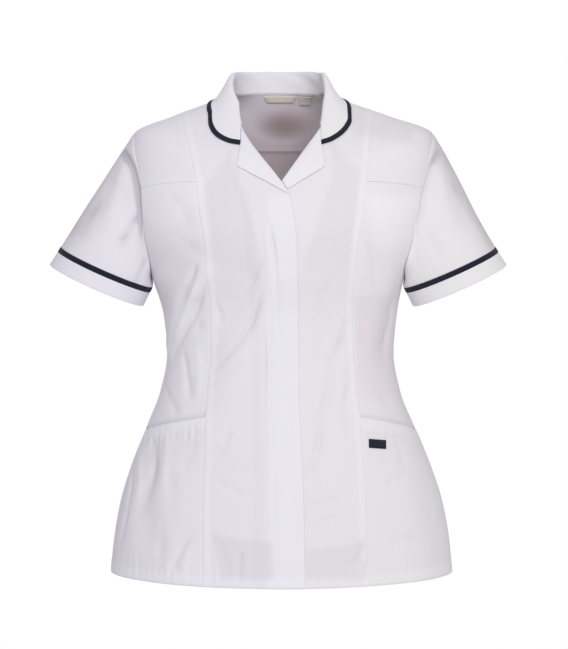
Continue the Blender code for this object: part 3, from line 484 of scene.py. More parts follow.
def torso(u, v):
    """Body surface without folds: rings of a superellipse in u, whose sizes change with v."""
    turn = np.radians(u)
    across = np.sin(turn)
    along = np.cos(turn)
    bend = 2 / RINGS("power", v)
    x = RINGS("shift", v) + RINGS("side", v) * np.sign(across) * np.abs(across) ** bend
    in_front = along > 0
    depth = np.where(in_front, RINGS("front", v), RINGS("back", v))
    y = -depth * np.sign(along) * np.abs(along) ** bend
    middle = np.where(in_front, RINGS("z_front", v), RINGS("z_back", v))
    z = middle + (RINGS("z_side", v) - middle) * across ** 2
    return np.stack([x, y, z], -1)


def unit(vectors):
    """Vectors of length 1 in the same directions."""
    return vectors / np.linalg.norm(vectors, axis=-1, keepdims=True)


def body_normal(u, v):
    """Outward direction: the cross product of the steps round and up the body surface."""
    u = np.asarray(u, float)
    v = np.asarray(v, float)
    round_it = torso(u + STEP_U, v) - torso(u - STEP_U, v)
    up_it = torso(u, v + STEP_V) - torso(u, v - STEP_V)
    return unit(np.cross(round_it, up_it))


def fold_height(u, v):
    """Sum of the broad folds: each is its height times exp(-(distance / width) squared)."""
    height = np.zeros(np.shape(u))
    for u0, v0, u1, v1, width, top in FOLDS.rows():
        to_u = (np.mod(u - u0 + 180, 360) - 180) * FOLD_MM_PER_DEGREE
        to_v = (v - v0) * FOLD_MM_PER_V
        line_u = (np.mod(u1 - u0 + 180, 360) - 180) * FOLD_MM_PER_DEGREE
        line_v = (v1 - v0) * FOLD_MM_PER_V
        along = np.clip((to_u * line_u + to_v * line_v) / (line_u ** 2 + line_v ** 2), 0, 1)
        off = np.hypot(to_u - along * line_u, to_v - along * line_v)
        height = height + top * np.exp(-(off / width) ** 2)
    return height


def body(u, v, lift=0.0):
    """Points of the folded body surface, moved out by lift."""
    height = fold_height(u, v) + lift
    return torso(u, v) + body_normal(u, v) * height[..., None]


def angle_at(x, v):
    """u of the front point at x on the ring v."""
    share = (x - RINGS("shift", v)) / RINGS("side", v)
    share = np.clip(share, -1, 1)
    power = RINGS("power", v) / 2
    return np.degrees(np.arcsin(np.sign(share) * np.abs(share) ** power))


def level_at(u, z):
    """v of the point at height z on the line u, by halving."""
    low = np.zeros(np.broadcast(u, z).shape)
    high = np.ones_like(low)
    for _ in range(HALVINGS):
        middle = (low + high) / 2
        below = torso(u + low * 0, middle)[..., 2] < z
        low = np.where(below, middle, low)
        high = np.where(below, high, middle)
    return (low + high) / 2


def front_at(x, z):
    """(u, v) of the front points seen at (x, z) from the front."""
    x = np.asarray(x, float)
    z = np.asarray(z, float)
    v = np.full(np.broadcast(x, z).shape, 0.7)
    for _ in range(FRONT_ROUNDS):
        u = angle_at(x, v)
        v = (v + level_at(u, z)) / 2
    return np.stack([angle_at(x, v), v], -1)


class Line:
    """A line on the body through closely spaced (u, v) points, measured along the surface."""

    def __init__(self, points):
        self.points = np.array(points, float)
        self.place = torso(self.points[:, 0], self.points[:, 1])
        steps = np.linalg.norm(np.diff(self.place, axis=0), axis=1)
        self.run = np.concatenate([[0.0], np.cumsum(steps)])

    def at_height(self, z):
        """Run at which the line first passes height z, going up or down."""
        heights = self.place[:, 2]
        order = 1 if heights[-1] > heights[0] else -1
        return np.interp(z, heights[::order], self.run[::order])

    def stretch(self, start, end, shares):
        """(u, v) points at the given shares of the way from one run to another."""
        at = start + (end - start) * np.asarray(shares)
        return np.stack([np.interp(at, self.run, self.points[:, k]) for k in (0, 1)], -1)


def even(pieces):
    """Shares from 0 to 1 in equal steps."""
    return np.linspace(0, 1, pieces + 1)


def close_ends(pieces):
    """Even shares with a few more next to each end, where a seam bends the cloth."""
    step = 1 / pieces
    near = np.array([0.0, 0.12, 0.3, 0.55]) * step
    return np.concatenate([near, even(pieces)[1:-1], 1 - near[::-1]])


def straight(a, b, pieces):
    """Evenly spaced points from a to b."""
    return between(a, b, even(pieces))


def between(a, b, shares):
    """Points at the given shares of the way from a to b."""
    return np.asarray(a) + (np.asarray(b) - np.asarray(a)) * np.asarray(shares)[:, None]


def chain(*stretches):
    """Stretches end to end, with each shared point kept once."""
    return np.concatenate([stretches[0]] + [part[1:] for part in stretches[1:]])


def wrap(grid):
    """A grid with its first column again at its end."""
    return np.concatenate([grid, grid[:, :1]], axis=1)


def patch(left, right, bottom, top, shares, hold=1):
    """Grid of (u, v) between four lines: rows blended straight from bottom to top, with the
    bend of each side line fading out from it, faster with a higher hold."""
    rows = even(len(left) - 1)[:, None, None]
    columns = shares[None, :, None]
    ruled = (1 - rows) * bottom[None] + rows * top[None]
    bend_left = left[:, None] - ruled[:, :1]
    bend_right = right[:, None] - ruled[:, -1:]
    return ruled + bend_left * (1 - columns) ** hold + bend_right * columns ** hold


def panel_seam(side):
    """Seam from the hem to the shoulder, as a Line."""
    z = np.linspace(HEM_Z + 1, PANEL_SEAM_TOP_Z, 90)
    seen = side * PANEL_SEAM("x", z) + DRIFT("x", z)
    low = front_at(seen, z)
    hem = [angle_at(side * PANEL_SEAM("x", HEM_Z) + DRIFT("x", HEM_Z), 0.0), 0.0]
    shoulder = slice(None, -5, -1)
    end_x = PANEL_SEAM_SHOULDER_X + side * PANEL_SEAM_SHOULDER_DRIFT
    end_v = smooth(RINGS.columns["side"][shoulder], RINGS.columns["v"][shoulder], end_x)
    end_x = side * RINGS("side", end_v) + RINGS("shift", end_v)
    v = np.linspace(low[-1, 1], end_v, 25)[1:]
    ease = (v - low[-1, 1]) / (end_v - low[-1, 1])
    high = np.stack([angle_at(seen[-1] + (end_x - seen[-1]) * ease, v), v], -1)
    high[-1, 0] = side * 90.0
    return Line(np.concatenate([[hem], low[1:], high]))


@cache
def panel_seam_points(side):
    """Shared points of the panel seam: hem to pocket, to chest seam, to shoulder."""
    line = panel_seam(side)
    mouth = line.at_height(POCKET_MOUTH_Z)
    chest = line.at_height(CHEST_SEAM_Z)
    return (line.stretch(0, mouth, even(ROWS_POCKET)),
            line.stretch(mouth, chest, even(ROWS_SIDE_SEAM + ROWS_ARMHOLE_FRONT)),
            line.stretch(chest, line.run[-1], close_ends(ROWS_YOKE_FRONT)))


@cache
def inner_edge_points(side):
    """Points of a front's inner edge: hem to pocket height, to the V, to the gorge, to the neck."""
    column = "over" if side < 0 else "under"
    z = np.linspace(HEM_Z + 1, V_TIP_Z, LINE_POINTS)
    edge = front_at(FRONT_EDGE(column, z), z)
    low = Line(np.concatenate([[[angle_at(FRONT_EDGE(column, HEM_Z), 0.0), 0.0]], edge[1:]]))
    z = np.linspace(V_TIP_Z, NECK_POINT_Z, 60)
    over = -side * np.interp(z, (V_TIP_Z, ROLL_START_Z), (V_TIP_X, 0.0))
    rolled = side * ROLL_LINE("x", np.maximum(z, ROLL_START_Z))
    roll = front_at(np.where(z < ROLL_START_Z, over, rolled), z)
    bend = np.array([side * NECK_BEND[0], NECK_BEND[1]])
    neck = np.array([side * 90.0, 1.0])
    high = Line(chain(roll, straight(roll[-1], bend, 4), straight(bend, neck, 4)))
    mouth = low.at_height(POCKET_MOUTH_Z)
    gorge = high.at_height(GORGE_Z)
    rest = ROWS_SIDE_SEAM + ROWS_ARMHOLE_FRONT + len(close_ends(ROWS_YOKE_FRONT)) - 1
    return (low.stretch(0, mouth, even(ROWS_POCKET)),
            low.stretch(mouth, low.run[-1], even(rest - ROWS_ROLL_LINE - ROWS_FRONT_NECK)),
            high.stretch(0, gorge, even(ROWS_ROLL_LINE)),
            high.stretch(gorge, high.run[-1], even(ROWS_FRONT_NECK)))


@cache
def side_seam_points(side):
    """Shared points of the side seam: hem to pocket mouth, to the underarm."""
    v = np.linspace(0, UNDERARM_V, LINE_POINTS)
    down = 1 - v / UNDERARM_V
    line = Line(np.stack([side * (90 - SIDE_SEAM_LEAN * down) + SIDE_SEAM_TURN * down, v], -1))
    mouth = line.at_height(POCKET_MOUTH_SIDE_Z)
    return (line.stretch(0, mouth, even(ROWS_POCKET)),
            line.stretch(mouth, line.run[-1], even(ROWS_SIDE_SEAM)))


def armhole_line(side, reach):
    """Half of the armhole, from the underarm to the shoulder tip; reach is minus at the back."""
    turn = np.linspace(np.pi, 0, 240)
    v = (SHOULDER_TIP_V + UNDERARM_V) / 2 + (SHOULDER_TIP_V - UNDERARM_V) / 2 * np.cos(turn)
    u = 90 - reach * np.abs(np.sin(turn)) ** ARMHOLE_ROUNDNESS
    return Line(np.stack([side * u, v], -1))


@cache
def armhole_front_points(side):
    """Shared points of the front armhole: underarm to chest seam, to shoulder tip."""
    line = armhole_line(side, ARMHOLE_REACH_FRONT)
    chest = line.at_height(CHEST_SEAM_ARMHOLE_Z)
    return (line.stretch(0, chest, even(ROWS_ARMHOLE_FRONT)),
            line.stretch(chest, line.run[-1], close_ends(ROWS_YOKE_FRONT)))


@cache
def armhole_back_points(side):
    """Shared points of the back armhole: underarm to back yoke seam, to shoulder tip."""
    line = armhole_line(side, -ARMHOLE_REACH_BACK)
    yoke = line.at_height(BACK_YOKE_SEAM_Z)
    return (line.stretch(0, yoke, even(ROWS_ARMHOLE_BACK)),
            line.stretch(yoke, line.run[-1], even(ROWS_ARMHOLE_YOKE)))


def shoulder_points(side, front_shares, yoke_shares):
    """Points of the shoulder seam: neck to panel seam, to shoulder tip."""
    panel_v = panel_seam_points(side)[2][-1, 1]
    line = Line(np.stack([np.full(60, side * 90.0), np.linspace(1, SHOULDER_TIP_V, 60)], -1))
    panel = np.interp(-panel_v, -line.points[:, 1], line.run)
    return (line.stretch(0, panel, front_shares),
            line.stretch(panel, line.run[-1], yoke_shares))


def arc(points, axis):
    """Distance along a grid's lines from their first point."""
    steps = np.linalg.norm(np.diff(points, axis=axis), axis=-1)
    start = np.zeros_like(np.take(steps, [0], axis=axis))
    return np.concatenate([start, np.cumsum(steps, axis=axis)], axis=axis)


def seen_at(x, z):
    """(u, v) of the front points that the eye sees at (x, z) of the picture's plane."""
    y = PICTURE_Y
    for _ in range(4):
        scale = (y - EYE[1]) / (PICTURE_Y - EYE[1])
        place = front_at(EYE[0] + (x - EYE[0]) * scale, EYE[2] + (z - EYE[2]) * scale)
        y = torso(place[..., 0], place[..., 1])[..., 1]
    return place


def in_picture(points):
    """Where the eye sees points, as x and z of the picture's plane."""
    scale = (PICTURE_Y - EYE[1]) / (points[..., 1] - EYE[1])
    return EYE[0] + (points[..., 0] - EYE[0]) * scale, EYE[2] + (points[..., 2] - EYE[2]) * scale


def curve_through(x0, z0, x1, z1, x2, z2):
    """Quadratic curve that passes the first point, the second at its middle, and the third."""
    t = even(CREASE_PIECES)
    first, middle, last = (1 - t) * (1 - 2 * t), 4 * t * (1 - t), t * (2 * t - 1)
    return first * x0 + middle * x1 + last * x2, first * z0 + middle * z1 + last * z2


def crease_paths():
    """Each crease of the body as (path, width, height): those seen on the front, then those of
    the sides and the back."""
    *ends, widths, heights = FRONT_CREASES.columns.values()
    place = seen_at(*curve_through(*(end[:, None] for end in ends)))
    paths = list(zip(torso(place[..., 0], place[..., 1]), widths, heights))
    t = even(CREASE_PIECES)
    for u0, v0, u1, v1, bow, width, height in BACK_CREASES.rows():
        v = v0 + (v1 - v0) * t + bow * 4 * t * (1 - t) / FOLD_MM_PER_V
        paths.append((torso(u0 + (u1 - u0) * t, v), width, height))
    return paths


def crease_height(points, paths):
    """Sum of creases: height times exp(-(distance to the path / width) squared), tapered at both
    ends and a little uneven along its length."""
    flat = points.reshape(-1, 3)
    total = np.zeros(len(flat))
    for path, width, height in paths:
        reach = 3 * width
        near = np.all((flat > path.min(0) - reach) & (flat < path.max(0) + reach), axis=1)
        if not near.any():
            continue
        here = flat[near][:, None]
        a = path[None, :-1]
        step = path[None, 1:] - a
        t = np.clip(np.sum((here - a) * step, -1) / np.sum(step * step, -1), 0, 1)
        off = np.linalg.norm(here - a - t[..., None] * step, axis=-1)
        pick = np.argmin(off, axis=1)
        row = np.arange(len(pick))
        share = (pick + t[row, pick]) / (len(path) - 1)
        taper = np.clip(np.sin(np.pi * share), 0, 1) ** 0.7
        uneven = 1 + 0.25 * np.sin(share * 11 + width)
        wide = width * (0.75 + 0.5 * share)
        total[near] += height * taper * uneven * np.exp(-(off[row, pick] / wide) ** 2)
    return total.reshape(points.shape[:-1])


def ripple(points):
    """Slight unevenness of hanging cloth: a sum of slow sines over the points, under half a
    millimetre."""
    x, y, z = np.moveaxis(points, -1, 0)
    turn = np.arctan2(x, -y) * 150
    first = np.sin(turn / 21 + 1.3 * np.sin(z / 47)) * np.sin(z / 38 + 1.1 * np.sin(turn / 60))
    second = np.sin(turn / 11.3 + z / 29 + 0.7) * np.sin(z / 17.9 - turn / 41)
    third = np.sin(turn / 8.1 - z / 61 + 2.1)
    return 0.30 * first + 0.16 * second + 0.08 * third


BODY_CREASES = crease_paths()


def step_down(off, soft):
    """Smooth step from 1 to 0 as off passes 0."""
    return 0.5 - 0.5 * np.tanh(off / soft / 2)


def pucker(run, seed):
    """Waves that thread pulls into a seam, along its run: three sines of uneven lengths."""
    first = np.sin(run / 1.6 + 2 * np.sin(run / 31 + seed)) * (0.8 + 0.3 * np.sin(run / 19 + seed))
    second = np.sin(run / 2.3 + seed * 1.7) * np.sin(run / 23 + seed)
    return 0.5 * first + 0.5 * second + 0.2 * np.sin(run / 5.1 + seed * 3)


def bell(off, width):
    """1 at off 0, falling off on both sides: exp(-(off / width) squared)."""
    return np.exp(-(off / width) ** 2)


def seam_relief(off, run, kind, seed, pull=1.0):
    """Height of the cloth near an edge, from the distance off it and the run along it.

    A seam is a groove; its turnings raise a band beside it if it is pressed. A hem has a raised
    band up to its stitching, a groove there, and puckers on both sides of it, which are as strong
    as the pull of their thread."""
    waves = pucker(run, seed)
    if kind in GROOVES:
        groove = -GROOVES[kind] * bell(off, 1.1)
        if kind != "pressed":
            return groove + 0.07 * waves * np.exp(-off / 5)
        band = 0.28 * step_down(off - TURNINGS, 0.8) * (1 - bell(off, 1.6))
        return groove + band + 0.09 * waves * np.exp(-off / 6)
    depth, strength = HEMS[kind]
    past = off - depth
    waves = pull * strength * waves * np.exp(-np.abs(past) / 8)
    return 0.35 * step_down(past, 0.7) - 0.4 * bell(past, 1.0) + waves - 0.35 * bell(off, 0.8)


def put(name, data):
    """An object with that data, in the scene."""
    item = bpy.data.objects.new(name, data)
    bpy.context.scene.collection.objects.link(item)
    return item


def new_mesh(name, points, faces, cloth, tone=None, runs=None):
    """A mesh object from points in millimetres and faces, riding on the body. cloth is its
    material and a slot name, which is not used."""
    mesh = bpy.data.meshes.new(name)
    mesh.vertices.add(len(points))
    mesh.vertices.foreach_set("co", (np.asarray(points) * MM).astype(np.float32).ravel())
    mesh.loops.add(faces.size)
    mesh.loops.foreach_set("vertex_index", faces.astype(np.int32).ravel())
    mesh.polygons.add(len(faces))
    sides = faces.shape[1]
    mesh.polygons.foreach_set("loop_start", np.arange(0, faces.size, sides, dtype=np.int32))
    if tone is not None:
        layer = mesh.attributes.new("tone", "FLOAT", "POINT")
        layer.data.foreach_set("value", tone.astype(np.float32))
    if runs is not None:
        layer = mesh.uv_layers.new(name="cloth")
        layer.data.foreach_set("uv", (runs * MM).astype(np.float32).ravel())
    mesh.update(calc_edges=True)
    mesh.validate()
    mesh.shade_smooth()
    finish, slot = cloth
    mesh.materials.append(finish)
    item = put(name, mesh)
    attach(item, "root")
    return item


def shell(name, outer, inner, cloth, tone, closed=False, square=(), painted_inside_shade=None):
    """Closed shell between two grids: their quads, and a rounded rim along each open edge, or a
    square one on the edges named.

    The map of the cloth is the distance along the grid's rows and columns."""
    rows, columns = outer.shape[:2]
    count = rows * columns
    grid = np.arange(count).reshape(rows, columns)
    wrapped = wrap(grid) if closed else grid
    wide = wrap(outer) if closed else outer
    across = arc(wide, 1)
    across = across - across[:, across.shape[1] // 2][:, None]
    runs = np.stack([across, arc(wide, 0)], -1)
    high, broad = wrapped.shape

    def quads(values):
        corners = ((0, 0), (0, 1), (1, 1), (1, 0))
        return np.stack([values[i:high - 1 + i, j:broad - 1 + j] for i, j in corners], 2)

    upper, lower = outer.reshape(-1, 3), inner.reshape(-1, 3)
    outside = quads(wrapped).reshape(-1, 4)
    outside_runs = quads(runs).reshape(-1, 4, 2)
    a, b, c = (upper[k] for k in quads(wrapped)[rows // 2, columns // 2][:3])
    wall = outer[rows // 2, columns // 2] - inner[rows // 2, columns // 2]
    flipped = np.dot(np.cross(b - a, c - b), wall) < 0
    if flipped:
        outside = outside[:, ::-1]
        outside_runs = outside_runs[:, ::-1]
    away = np.zeros_like(outer)
    for edge, (at, beside) in EDGES.items():
        if edge not in square and not (closed and edge in ("left", "right")):
            away[at] += unit(outer[at] - outer[beside])
    if closed:
        loops = [(wrapped[0], runs[0], False), (wrapped[-1], runs[-1], True)]
    else:
        ring = np.concatenate([grid[0, :-1], grid[:-1, -1], grid[-1, :0:-1], grid[:0:-1, 0]])
        loop = np.append(ring, ring[0])
        loops = [(loop, runs.reshape(-1, 2)[loop], False)]
    points = [upper, lower]
    faces = [outside, outside[:, ::-1] + count]
    maps = [outside_runs, outside_runs[:, ::-1]]
    tones = [tone.ravel(), (tone if painted_inside_shade is None else painted_inside_shade).ravel()]
    start = 2 * count
    for loop, loop_runs, turned in loops:
        ring = loop[:-1]
        size = np.linalg.norm(upper[ring] - lower[ring], axis=-1, keepdims=True)
        points.append((upper[ring] + lower[ring]) / 2 + away.reshape(-1, 3)[ring] * size * RIM)
        tones.append(tone.ravel()[ring])
        middle = start + np.append(np.arange(len(ring)), 0)
        start += len(ring)
        for one, two in ((loop, middle), (middle, loop + count)):
            strip = np.stack([two[:-1], two[1:], one[1:], one[:-1]], 1)
            strip_runs = np.stack([loop_runs[:-1], loop_runs[1:], loop_runs[1:], loop_runs[:-1]], 1)
            if turned != flipped:
                strip = strip[:, ::-1]
                strip_runs = strip_runs[:, ::-1]
            faces.append(strip)
            maps.append(strip_runs)
    return new_mesh(name, np.concatenate(points), np.concatenate(faces), cloth,
                    np.concatenate(tones), np.concatenate(maps))


def surface_normals(grid, like):
    """Normals of a grid of points, on the same side as the directions given."""
    normal = unit(np.cross(np.gradient(grid, axis=1), np.gradient(grid, axis=0)))
    return normal * np.sign(np.sum(normal * like, axis=-1, keepdims=True))


class Wire:
    """An output socket, so that arithmetic on its values can be written as an expression."""

    def __init__(self, finish, socket):
        self.finish = finish
        self.socket = socket

    def math(self, operation, *values):
        return self.finish.node("Math", dict(enumerate(values)), operation=operation)

    def __add__(self, other):
        return self.math("ADD", self, other)

    def __sub__(self, other):
        return self.math("SUBTRACT", self, other)

    def __mul__(self, other):
        return self.math("MULTIPLY", self, other)

    def sine(self):
        return self.math("SINE", self)

    def size(self):
        return self.math("ABSOLUTE", self)

    def below(self, limit):
        """1 where the value is under the limit, else 0."""
        return self.math("LESS_THAN", self, limit)


class Finish:
    """The nodes of one material."""

    def __init__(self, name, colour, roughness, sheen):
        self.material = bpy.data.materials.new(name)
        self.material.use_nodes = True
        self.tree = self.material.node_tree
        self.shader = self.tree.nodes["Principled BSDF"]
        self.shader.inputs["Base Color"].default_value = (*colour, 1.0)
        self.shader.inputs["Roughness"].default_value = roughness
        self.shader.inputs["Sheen Weight"].default_value = sheen
        self.shader.inputs["Sheen Roughness"].default_value = 0.5
        self.shader.inputs["Specular IOR Level"].default_value = 0.25

    def node(self, kind, sockets=None, output=0, **settings):
        """A node of that type, with its settings and then the values or links of its sockets."""
        made = self.tree.nodes.new("ShaderNode" + kind)
        for key, value in settings.items():
            setattr(made, key, value)
        for key, value in (sockets or {}).items():
            if isinstance(value, Wire):
                self.tree.links.new(value.socket, made.inputs[key])
            else:
                made.inputs[key].default_value = value
        return Wire(self, made.outputs[output])

    def set(self, name, wire):
        """Link a value to one of the shader's inputs."""
        self.tree.links.new(wire.socket, self.shader.inputs[name])

    def part(self, vector, index):
        """One component of a vector."""
        return self.node("SeparateXYZ", {0: vector}, index)

    def cloth_map(self):
        """The map of the cloth and its two distances, in metres."""
        where = self.node("UVMap", uv_map="cloth")
        return where, self.part(where, 0), self.part(where, 1)

    def noise(self, where, scale):
        """Soft noise whose cells measure 1 / scale."""
        return self.node("TexNoise", {"Vector": where, "Scale": scale, "Detail": 2.0})

    def ramp(self, value, low, high, bottom=0.0, top=1.0):
        """Straight from bottom to top as the value goes from low to high."""
        return self.node("MapRange", {"Value": value, "From Min": low, "From Max": high,
                                      "To Min": bottom, "To Max": top})

    def mix(self, factor, low, high, blend="MIX"):
        """Colour from low to high with the factor, or low multiplied by high."""
        low, high = (end if isinstance(end, Wire) else (*end, 1.0) for end in (low, high))
        return self.node("Mix", {"Factor": factor, 6: low, 7: high}, 2, data_type="RGBA",
                         blend_type=blend)

    def done(self, colour, height, strength, distance):
        """The material, with that colour and a bump from the height."""
        self.set("Base Color", colour)
        self.set("Normal", self.node("Bump", {"Strength": strength, "Distance": distance,
                                              "Height": height}))
        return self.material


def white_cloth():
    """Plain weave: the product of two sines along warp and weft, with uneven threads.

    With the tone attribute the colour goes from cloth with dark layers behind it (0) to cloth of
    several layers (1), and has more painted shade near 0. A tone below 0 is the inside, painted
    with shade the darker the lower it is. Painted light makes the cloth a little bluer on the
    wearer's right and warmer on the left, and gives it a breath of mauve at the sides of the waist."""
    made = Finish("white cloth", (0.8, 0.79, 0.83), 0.82, 0.12)
    where, across, up = made.cloth_map()
    weave = (across * (2 * np.pi / WEAVE_PITCH)).sine() * (up * (2 * np.pi / WEAVE_PITCH)).sine()
    slub, slub_across = (made.noise(made.node("Mapping", {0: where, "Scale": scale}), 1.0)
                         for scale in ((1400.0, 90.0, 1.0), (90.0, 1400.0, 1.0)))
    tone = made.node("Attribute", output="Fac", attribute_name="tone")
    uneven = tone + (slub - 0.5) * 0.10 + (slub_across - 0.5) * 0.08
    outside = made.mix(uneven, (0.705, 0.675, 0.715), (0.94, 0.938, 0.965))
    # Painted shade: the cloth grows darker still as its tone falls towards 0.
    outside = made.mix(made.ramp(tone, 0.22, 0.01), outside, (0.58, 0.56, 0.605))
    # Painted shade of the inside: warm grey, darker the lower the tone.
    inside = made.mix(tone * -1.0, (0.96, 0.90, 0.94), (0.40, 0.315, 0.32))
    colour = made.mix(tone.below(0.0), outside, inside)
    place = made.node("TexCoord", output="Object")
    sideways = made.part(place, 0)
    # Painted light: bluer on the wearer's right, warmer on the left.
    painted_light_tint = made.mix(made.ramp(sideways, 0.0, 0.06), (0.972, 0.974, 1.0), (0.985, 0.987, 0.963))
    colour = made.mix(1.0, colour, painted_light_tint, "MULTIPLY")
    # Painted light: a mauve cast on the sides of the waist.
    beside = made.ramp(sideways, 0.085, 0.105) + made.ramp(sideways, -0.125, -0.165)
    waist = made.ramp((made.part(place, 2) + 0.365).size(), 0.04, 0.085, 1.0, 0.0)
    colour = made.mix(beside * waist, colour, (1.03, 1.0, 1.015), "MULTIPLY")
    return made.done(colour, weave * 0.5 + slub + slub_across, 0.35, 0.00012)


def blue_tape():
    """Grosgrain: ribs across the tape, each a sine along its run."""
    made = Finish("blue tape", (0.012, 0.014, 0.040), 0.55, 0.03)
    where, across, _ = made.cloth_map()
    ribs = (across * (2 * np.pi / TAPE_RIB_PITCH)).sine()
    fine = made.noise(where, 900.0)
    colour = made.mix(ribs * 0.25 + fine * 0.5, (0.006, 0.007, 0.020), (0.013, 0.015, 0.040))
    return made.done(colour, ribs + fine * 0.6, 0.6, 0.00025)


def cream_tape():
    """Woven label: fine ribs both ways."""
    made = Finish("cream tape", (0.78, 0.74, 0.64), 0.7, 0.1)
    where, *ways = made.cloth_map()
    across, up = ((way * (2 * np.pi / pitch)).sine() for way, pitch in zip(ways, LABEL_RIB_PITCHES))
    ribs = across * up
    fine = made.noise(where, 700.0)
    colour = made.mix(ribs * 0.2 + fine, (0.80, 0.75, 0.66), (0.96, 0.91, 0.82))
    return made.done(colour, ribs + fine, 0.5, 0.00015)


def thread():
    """White sewing thread, uneven with fine noise."""
    made = Finish("thread", (0.86, 0.86, 0.90), 0.6, 0.2)
    fine = made.noise(made.node("TexCoord", output="Object"), 1500.0)
    return made.done(made.mix(fine, (0.78, 0.78, 0.83), (0.93, 0.93, 0.96)), fine, 0.5, 0.0001)


WHITE = (white_cloth(), "white_cloth")
BLUE = (blue_tape(), "blue_tape")
CREAM = (cream_tape(), "cream_tape")
THREAD = (thread(), "white_cloth")

# Zones of the front where layers behind show through the cloth, or painted shade and light where
# it lies in more or less shade: outline in the picture's plane, change of tone, softness of its
# edge, and the heights between which it fades out, if it does.
ZONES = {
    "single layer, right front": ([(-66, -92), (-98, -140), (-93, -190), (-86, -250), (-84, -292),
                                   (-30, -300), (-22, -244), (-36, -190), (-52, -140)],
                                  -0.17, 3.0, -240, -292),
    "single layer, left front": ([(65, -80), (103, -122), (99, -170), (90, -230), (86, -300),
                                  (25, -300), (30, -235), (47, -190), (70, -112)],
                                 -0.17, 2.5, -225, -296),
    "behind the right pocket bag": ([(-90, -594), (-11, -604), (-8, -653), (-78, -653),
                                     (-82, -624)], -0.22, 2.0),
    "behind the left pocket bag": ([(33, -614), (84, -608), (107, -600), (112, -588), (112, -653),
                                    (33, -653)], -0.20, 2.0),
    "fly": ([(-17, -150), (18, -150), (24, -312), (34, -664), (-14, -664), (-18, -312)],
            0.14, 2.0),
    "chest, right side": ([(-100, -128), (-190, -132), (-185, -172), (-150, -196), (-107, -164)],
                          0.10, 4.0),
    "painted shade, outer side of the right sleeve": ([(-190, -60), (-206, -100), (-230, -150), (-258, -205),
                                        (-330, -240), (-330, -60)], -0.41, 16.0),
    "painted shade, outer side of the left sleeve": ([(184, -60), (200, -100), (232, -160), (268, -225),
                                       (290, -240), (330, -240), (330, -60)], -0.41, 9.0),
    "chest, outer left side": ([(112, -150), (190, -150), (172, -280), (132, -283)], 0.25, 9.0),
    "painted shade, left shoulder": ([(92, -40), (172, -60), (176, -84), (98, -72)], -0.25, 6.0),
    "waist, left side": ([(96, -284), (150, -280), (190, -300), (180, -470), (99, -442)],
                         -0.12, 2.0, -370, -440),
    "waist, right side": ([(-96, -270), (-150, -240), (-190, -300), (-190, -480), (-99, -442)],
                          0.14, 12.0),
    "chest, left side": ([(100, -205), (108, -215), (124, -250), (130, -283), (97, -283)],
                         0.10, 3.0),
}


def zone_tone(place):
    """Change of tone at points of the front, from layers that show through or from painted shade:
    for each zone, its change times a smooth step of the distance inside its outline."""
    x, z = in_picture(place)
    total = np.zeros(x.shape)
    for outline, change, soft, *fade in ZONES.values():
        near = np.full(x.shape, np.inf)
        inside = np.zeros(x.shape, bool)
        for (ax, az), (bx, bz) in zip(outline, outline[1:] + outline[:1]):
            dx, dz = bx - ax, bz - az
            t = np.clip(((x - ax) * dx + (z - az) * dz) / (dx * dx + dz * dz), 0, 1)
            near = np.minimum(near, np.hypot(x - ax - t * dx, z - az - t * dz))
            crosses = (az > z) != (bz > z)
            inside ^= crosses & (x < ax + (z - az) * dx / (dz or 1.0))
        part = change * step_down(np.where(inside, -near, near), soft / 2)
        if fade:
            full, none = fade
            part = part * np.clip((z - none) / (full - none), 0, 1)
        total += part
    return total


def painted_inside_shade(place):
    """Painted shade on the inside of the cloth, as a tone below 0 so that the shader knows it. The
    layers behind make a dark band of painted shade across the back below the neck, and the yoke
    seam a dark line of painted shadow."""
    deep = -place[..., 2]
    far = np.hypot((place[..., 0] - 4) / 42, (deep - 36) / 24)
    band = np.maximum(0.98 * np.exp(-far ** 2.4),
                      np.interp(deep, (0.0, 30.0, 55.0, 71.0, 73.0), (0.0, 0.10, 0.45, 0.50, 0.68)))
    return -0.02 - band - 0.5 * bell(place[..., 2] - BACK_YOKE_SEAM_Z, 1.6)


PANELS = {}


def declare(node):
    """Hide the piece's solid; the shell of cloth made for it, a sheet cut to that size, stands in
    its place.
    """
    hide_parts(node)


def panel(name, grid, kinds, lift=0.0, inward=None, tone=PLAIN, seed=0.0, pull=1.0):
    """A panel of the body from its (u, v) grid. kinds names what each of its edges is, in the
    order of EDGES; inward holds the wall vectors at its armhole."""
    u, v = grid[..., 0], grid[..., 1]
    plain = torso(u, v)
    across, up = arc(plain, 1), arc(plain, 0)
    off = {"left": across, "right": across[:, -1:] - across, "bottom": up, "top": up[-1:] - up}
    kinds = dict(zip(EDGES, kinds.split()))
    folds = crease_height(plain, BODY_CREASES)
    relief = np.zeros(u.shape)
    # Painted shade in the troughs of the creases and painted light on their ridges.
    tones = tone + CREASE_SHADE * folds
    for k, (edge, kind) in enumerate(kinds.items()):
        if kind == "free":
            relief -= 0.3 * bell(off[edge], 0.8)
            continue
        run = up if edge in ("left", "right") else across
        relief += seam_relief(off[edge], run, kind, seed + k, pull)
        if kind == "pressed":
            tones += OVER_TURNINGS * step_down(off[edge] - TURNINGS, 0.7)
        if kind in ("hem", "mouth"):
            tones += OVER_HEM * step_down(off[edge] - HEM_DEPTH, 0.7)
    # The zones add the show-through of layers behind, and painted shade.
    if "back" not in name:
        tones += zone_tone(plain)
    outer = body(u, v, lift + relief + folds + ripple(plain))
    normal = surface_normals(outer, body_normal(u, v))
    wall = normal * THICK
    if inward is not None:
        pick, vectors = inward
        wall[pick] = vectors
    sewn = [edge for edge, kind in kinds.items() if kind in GROOVES]
    PANELS[name] = {"outer": outer, "normal": normal, "off": off}
    return shell(name, outer, outer - wall, WHITE, np.maximum(tones, LEAST), square=sewn,
                 painted_inside_shade=painted_inside_shade(plain))


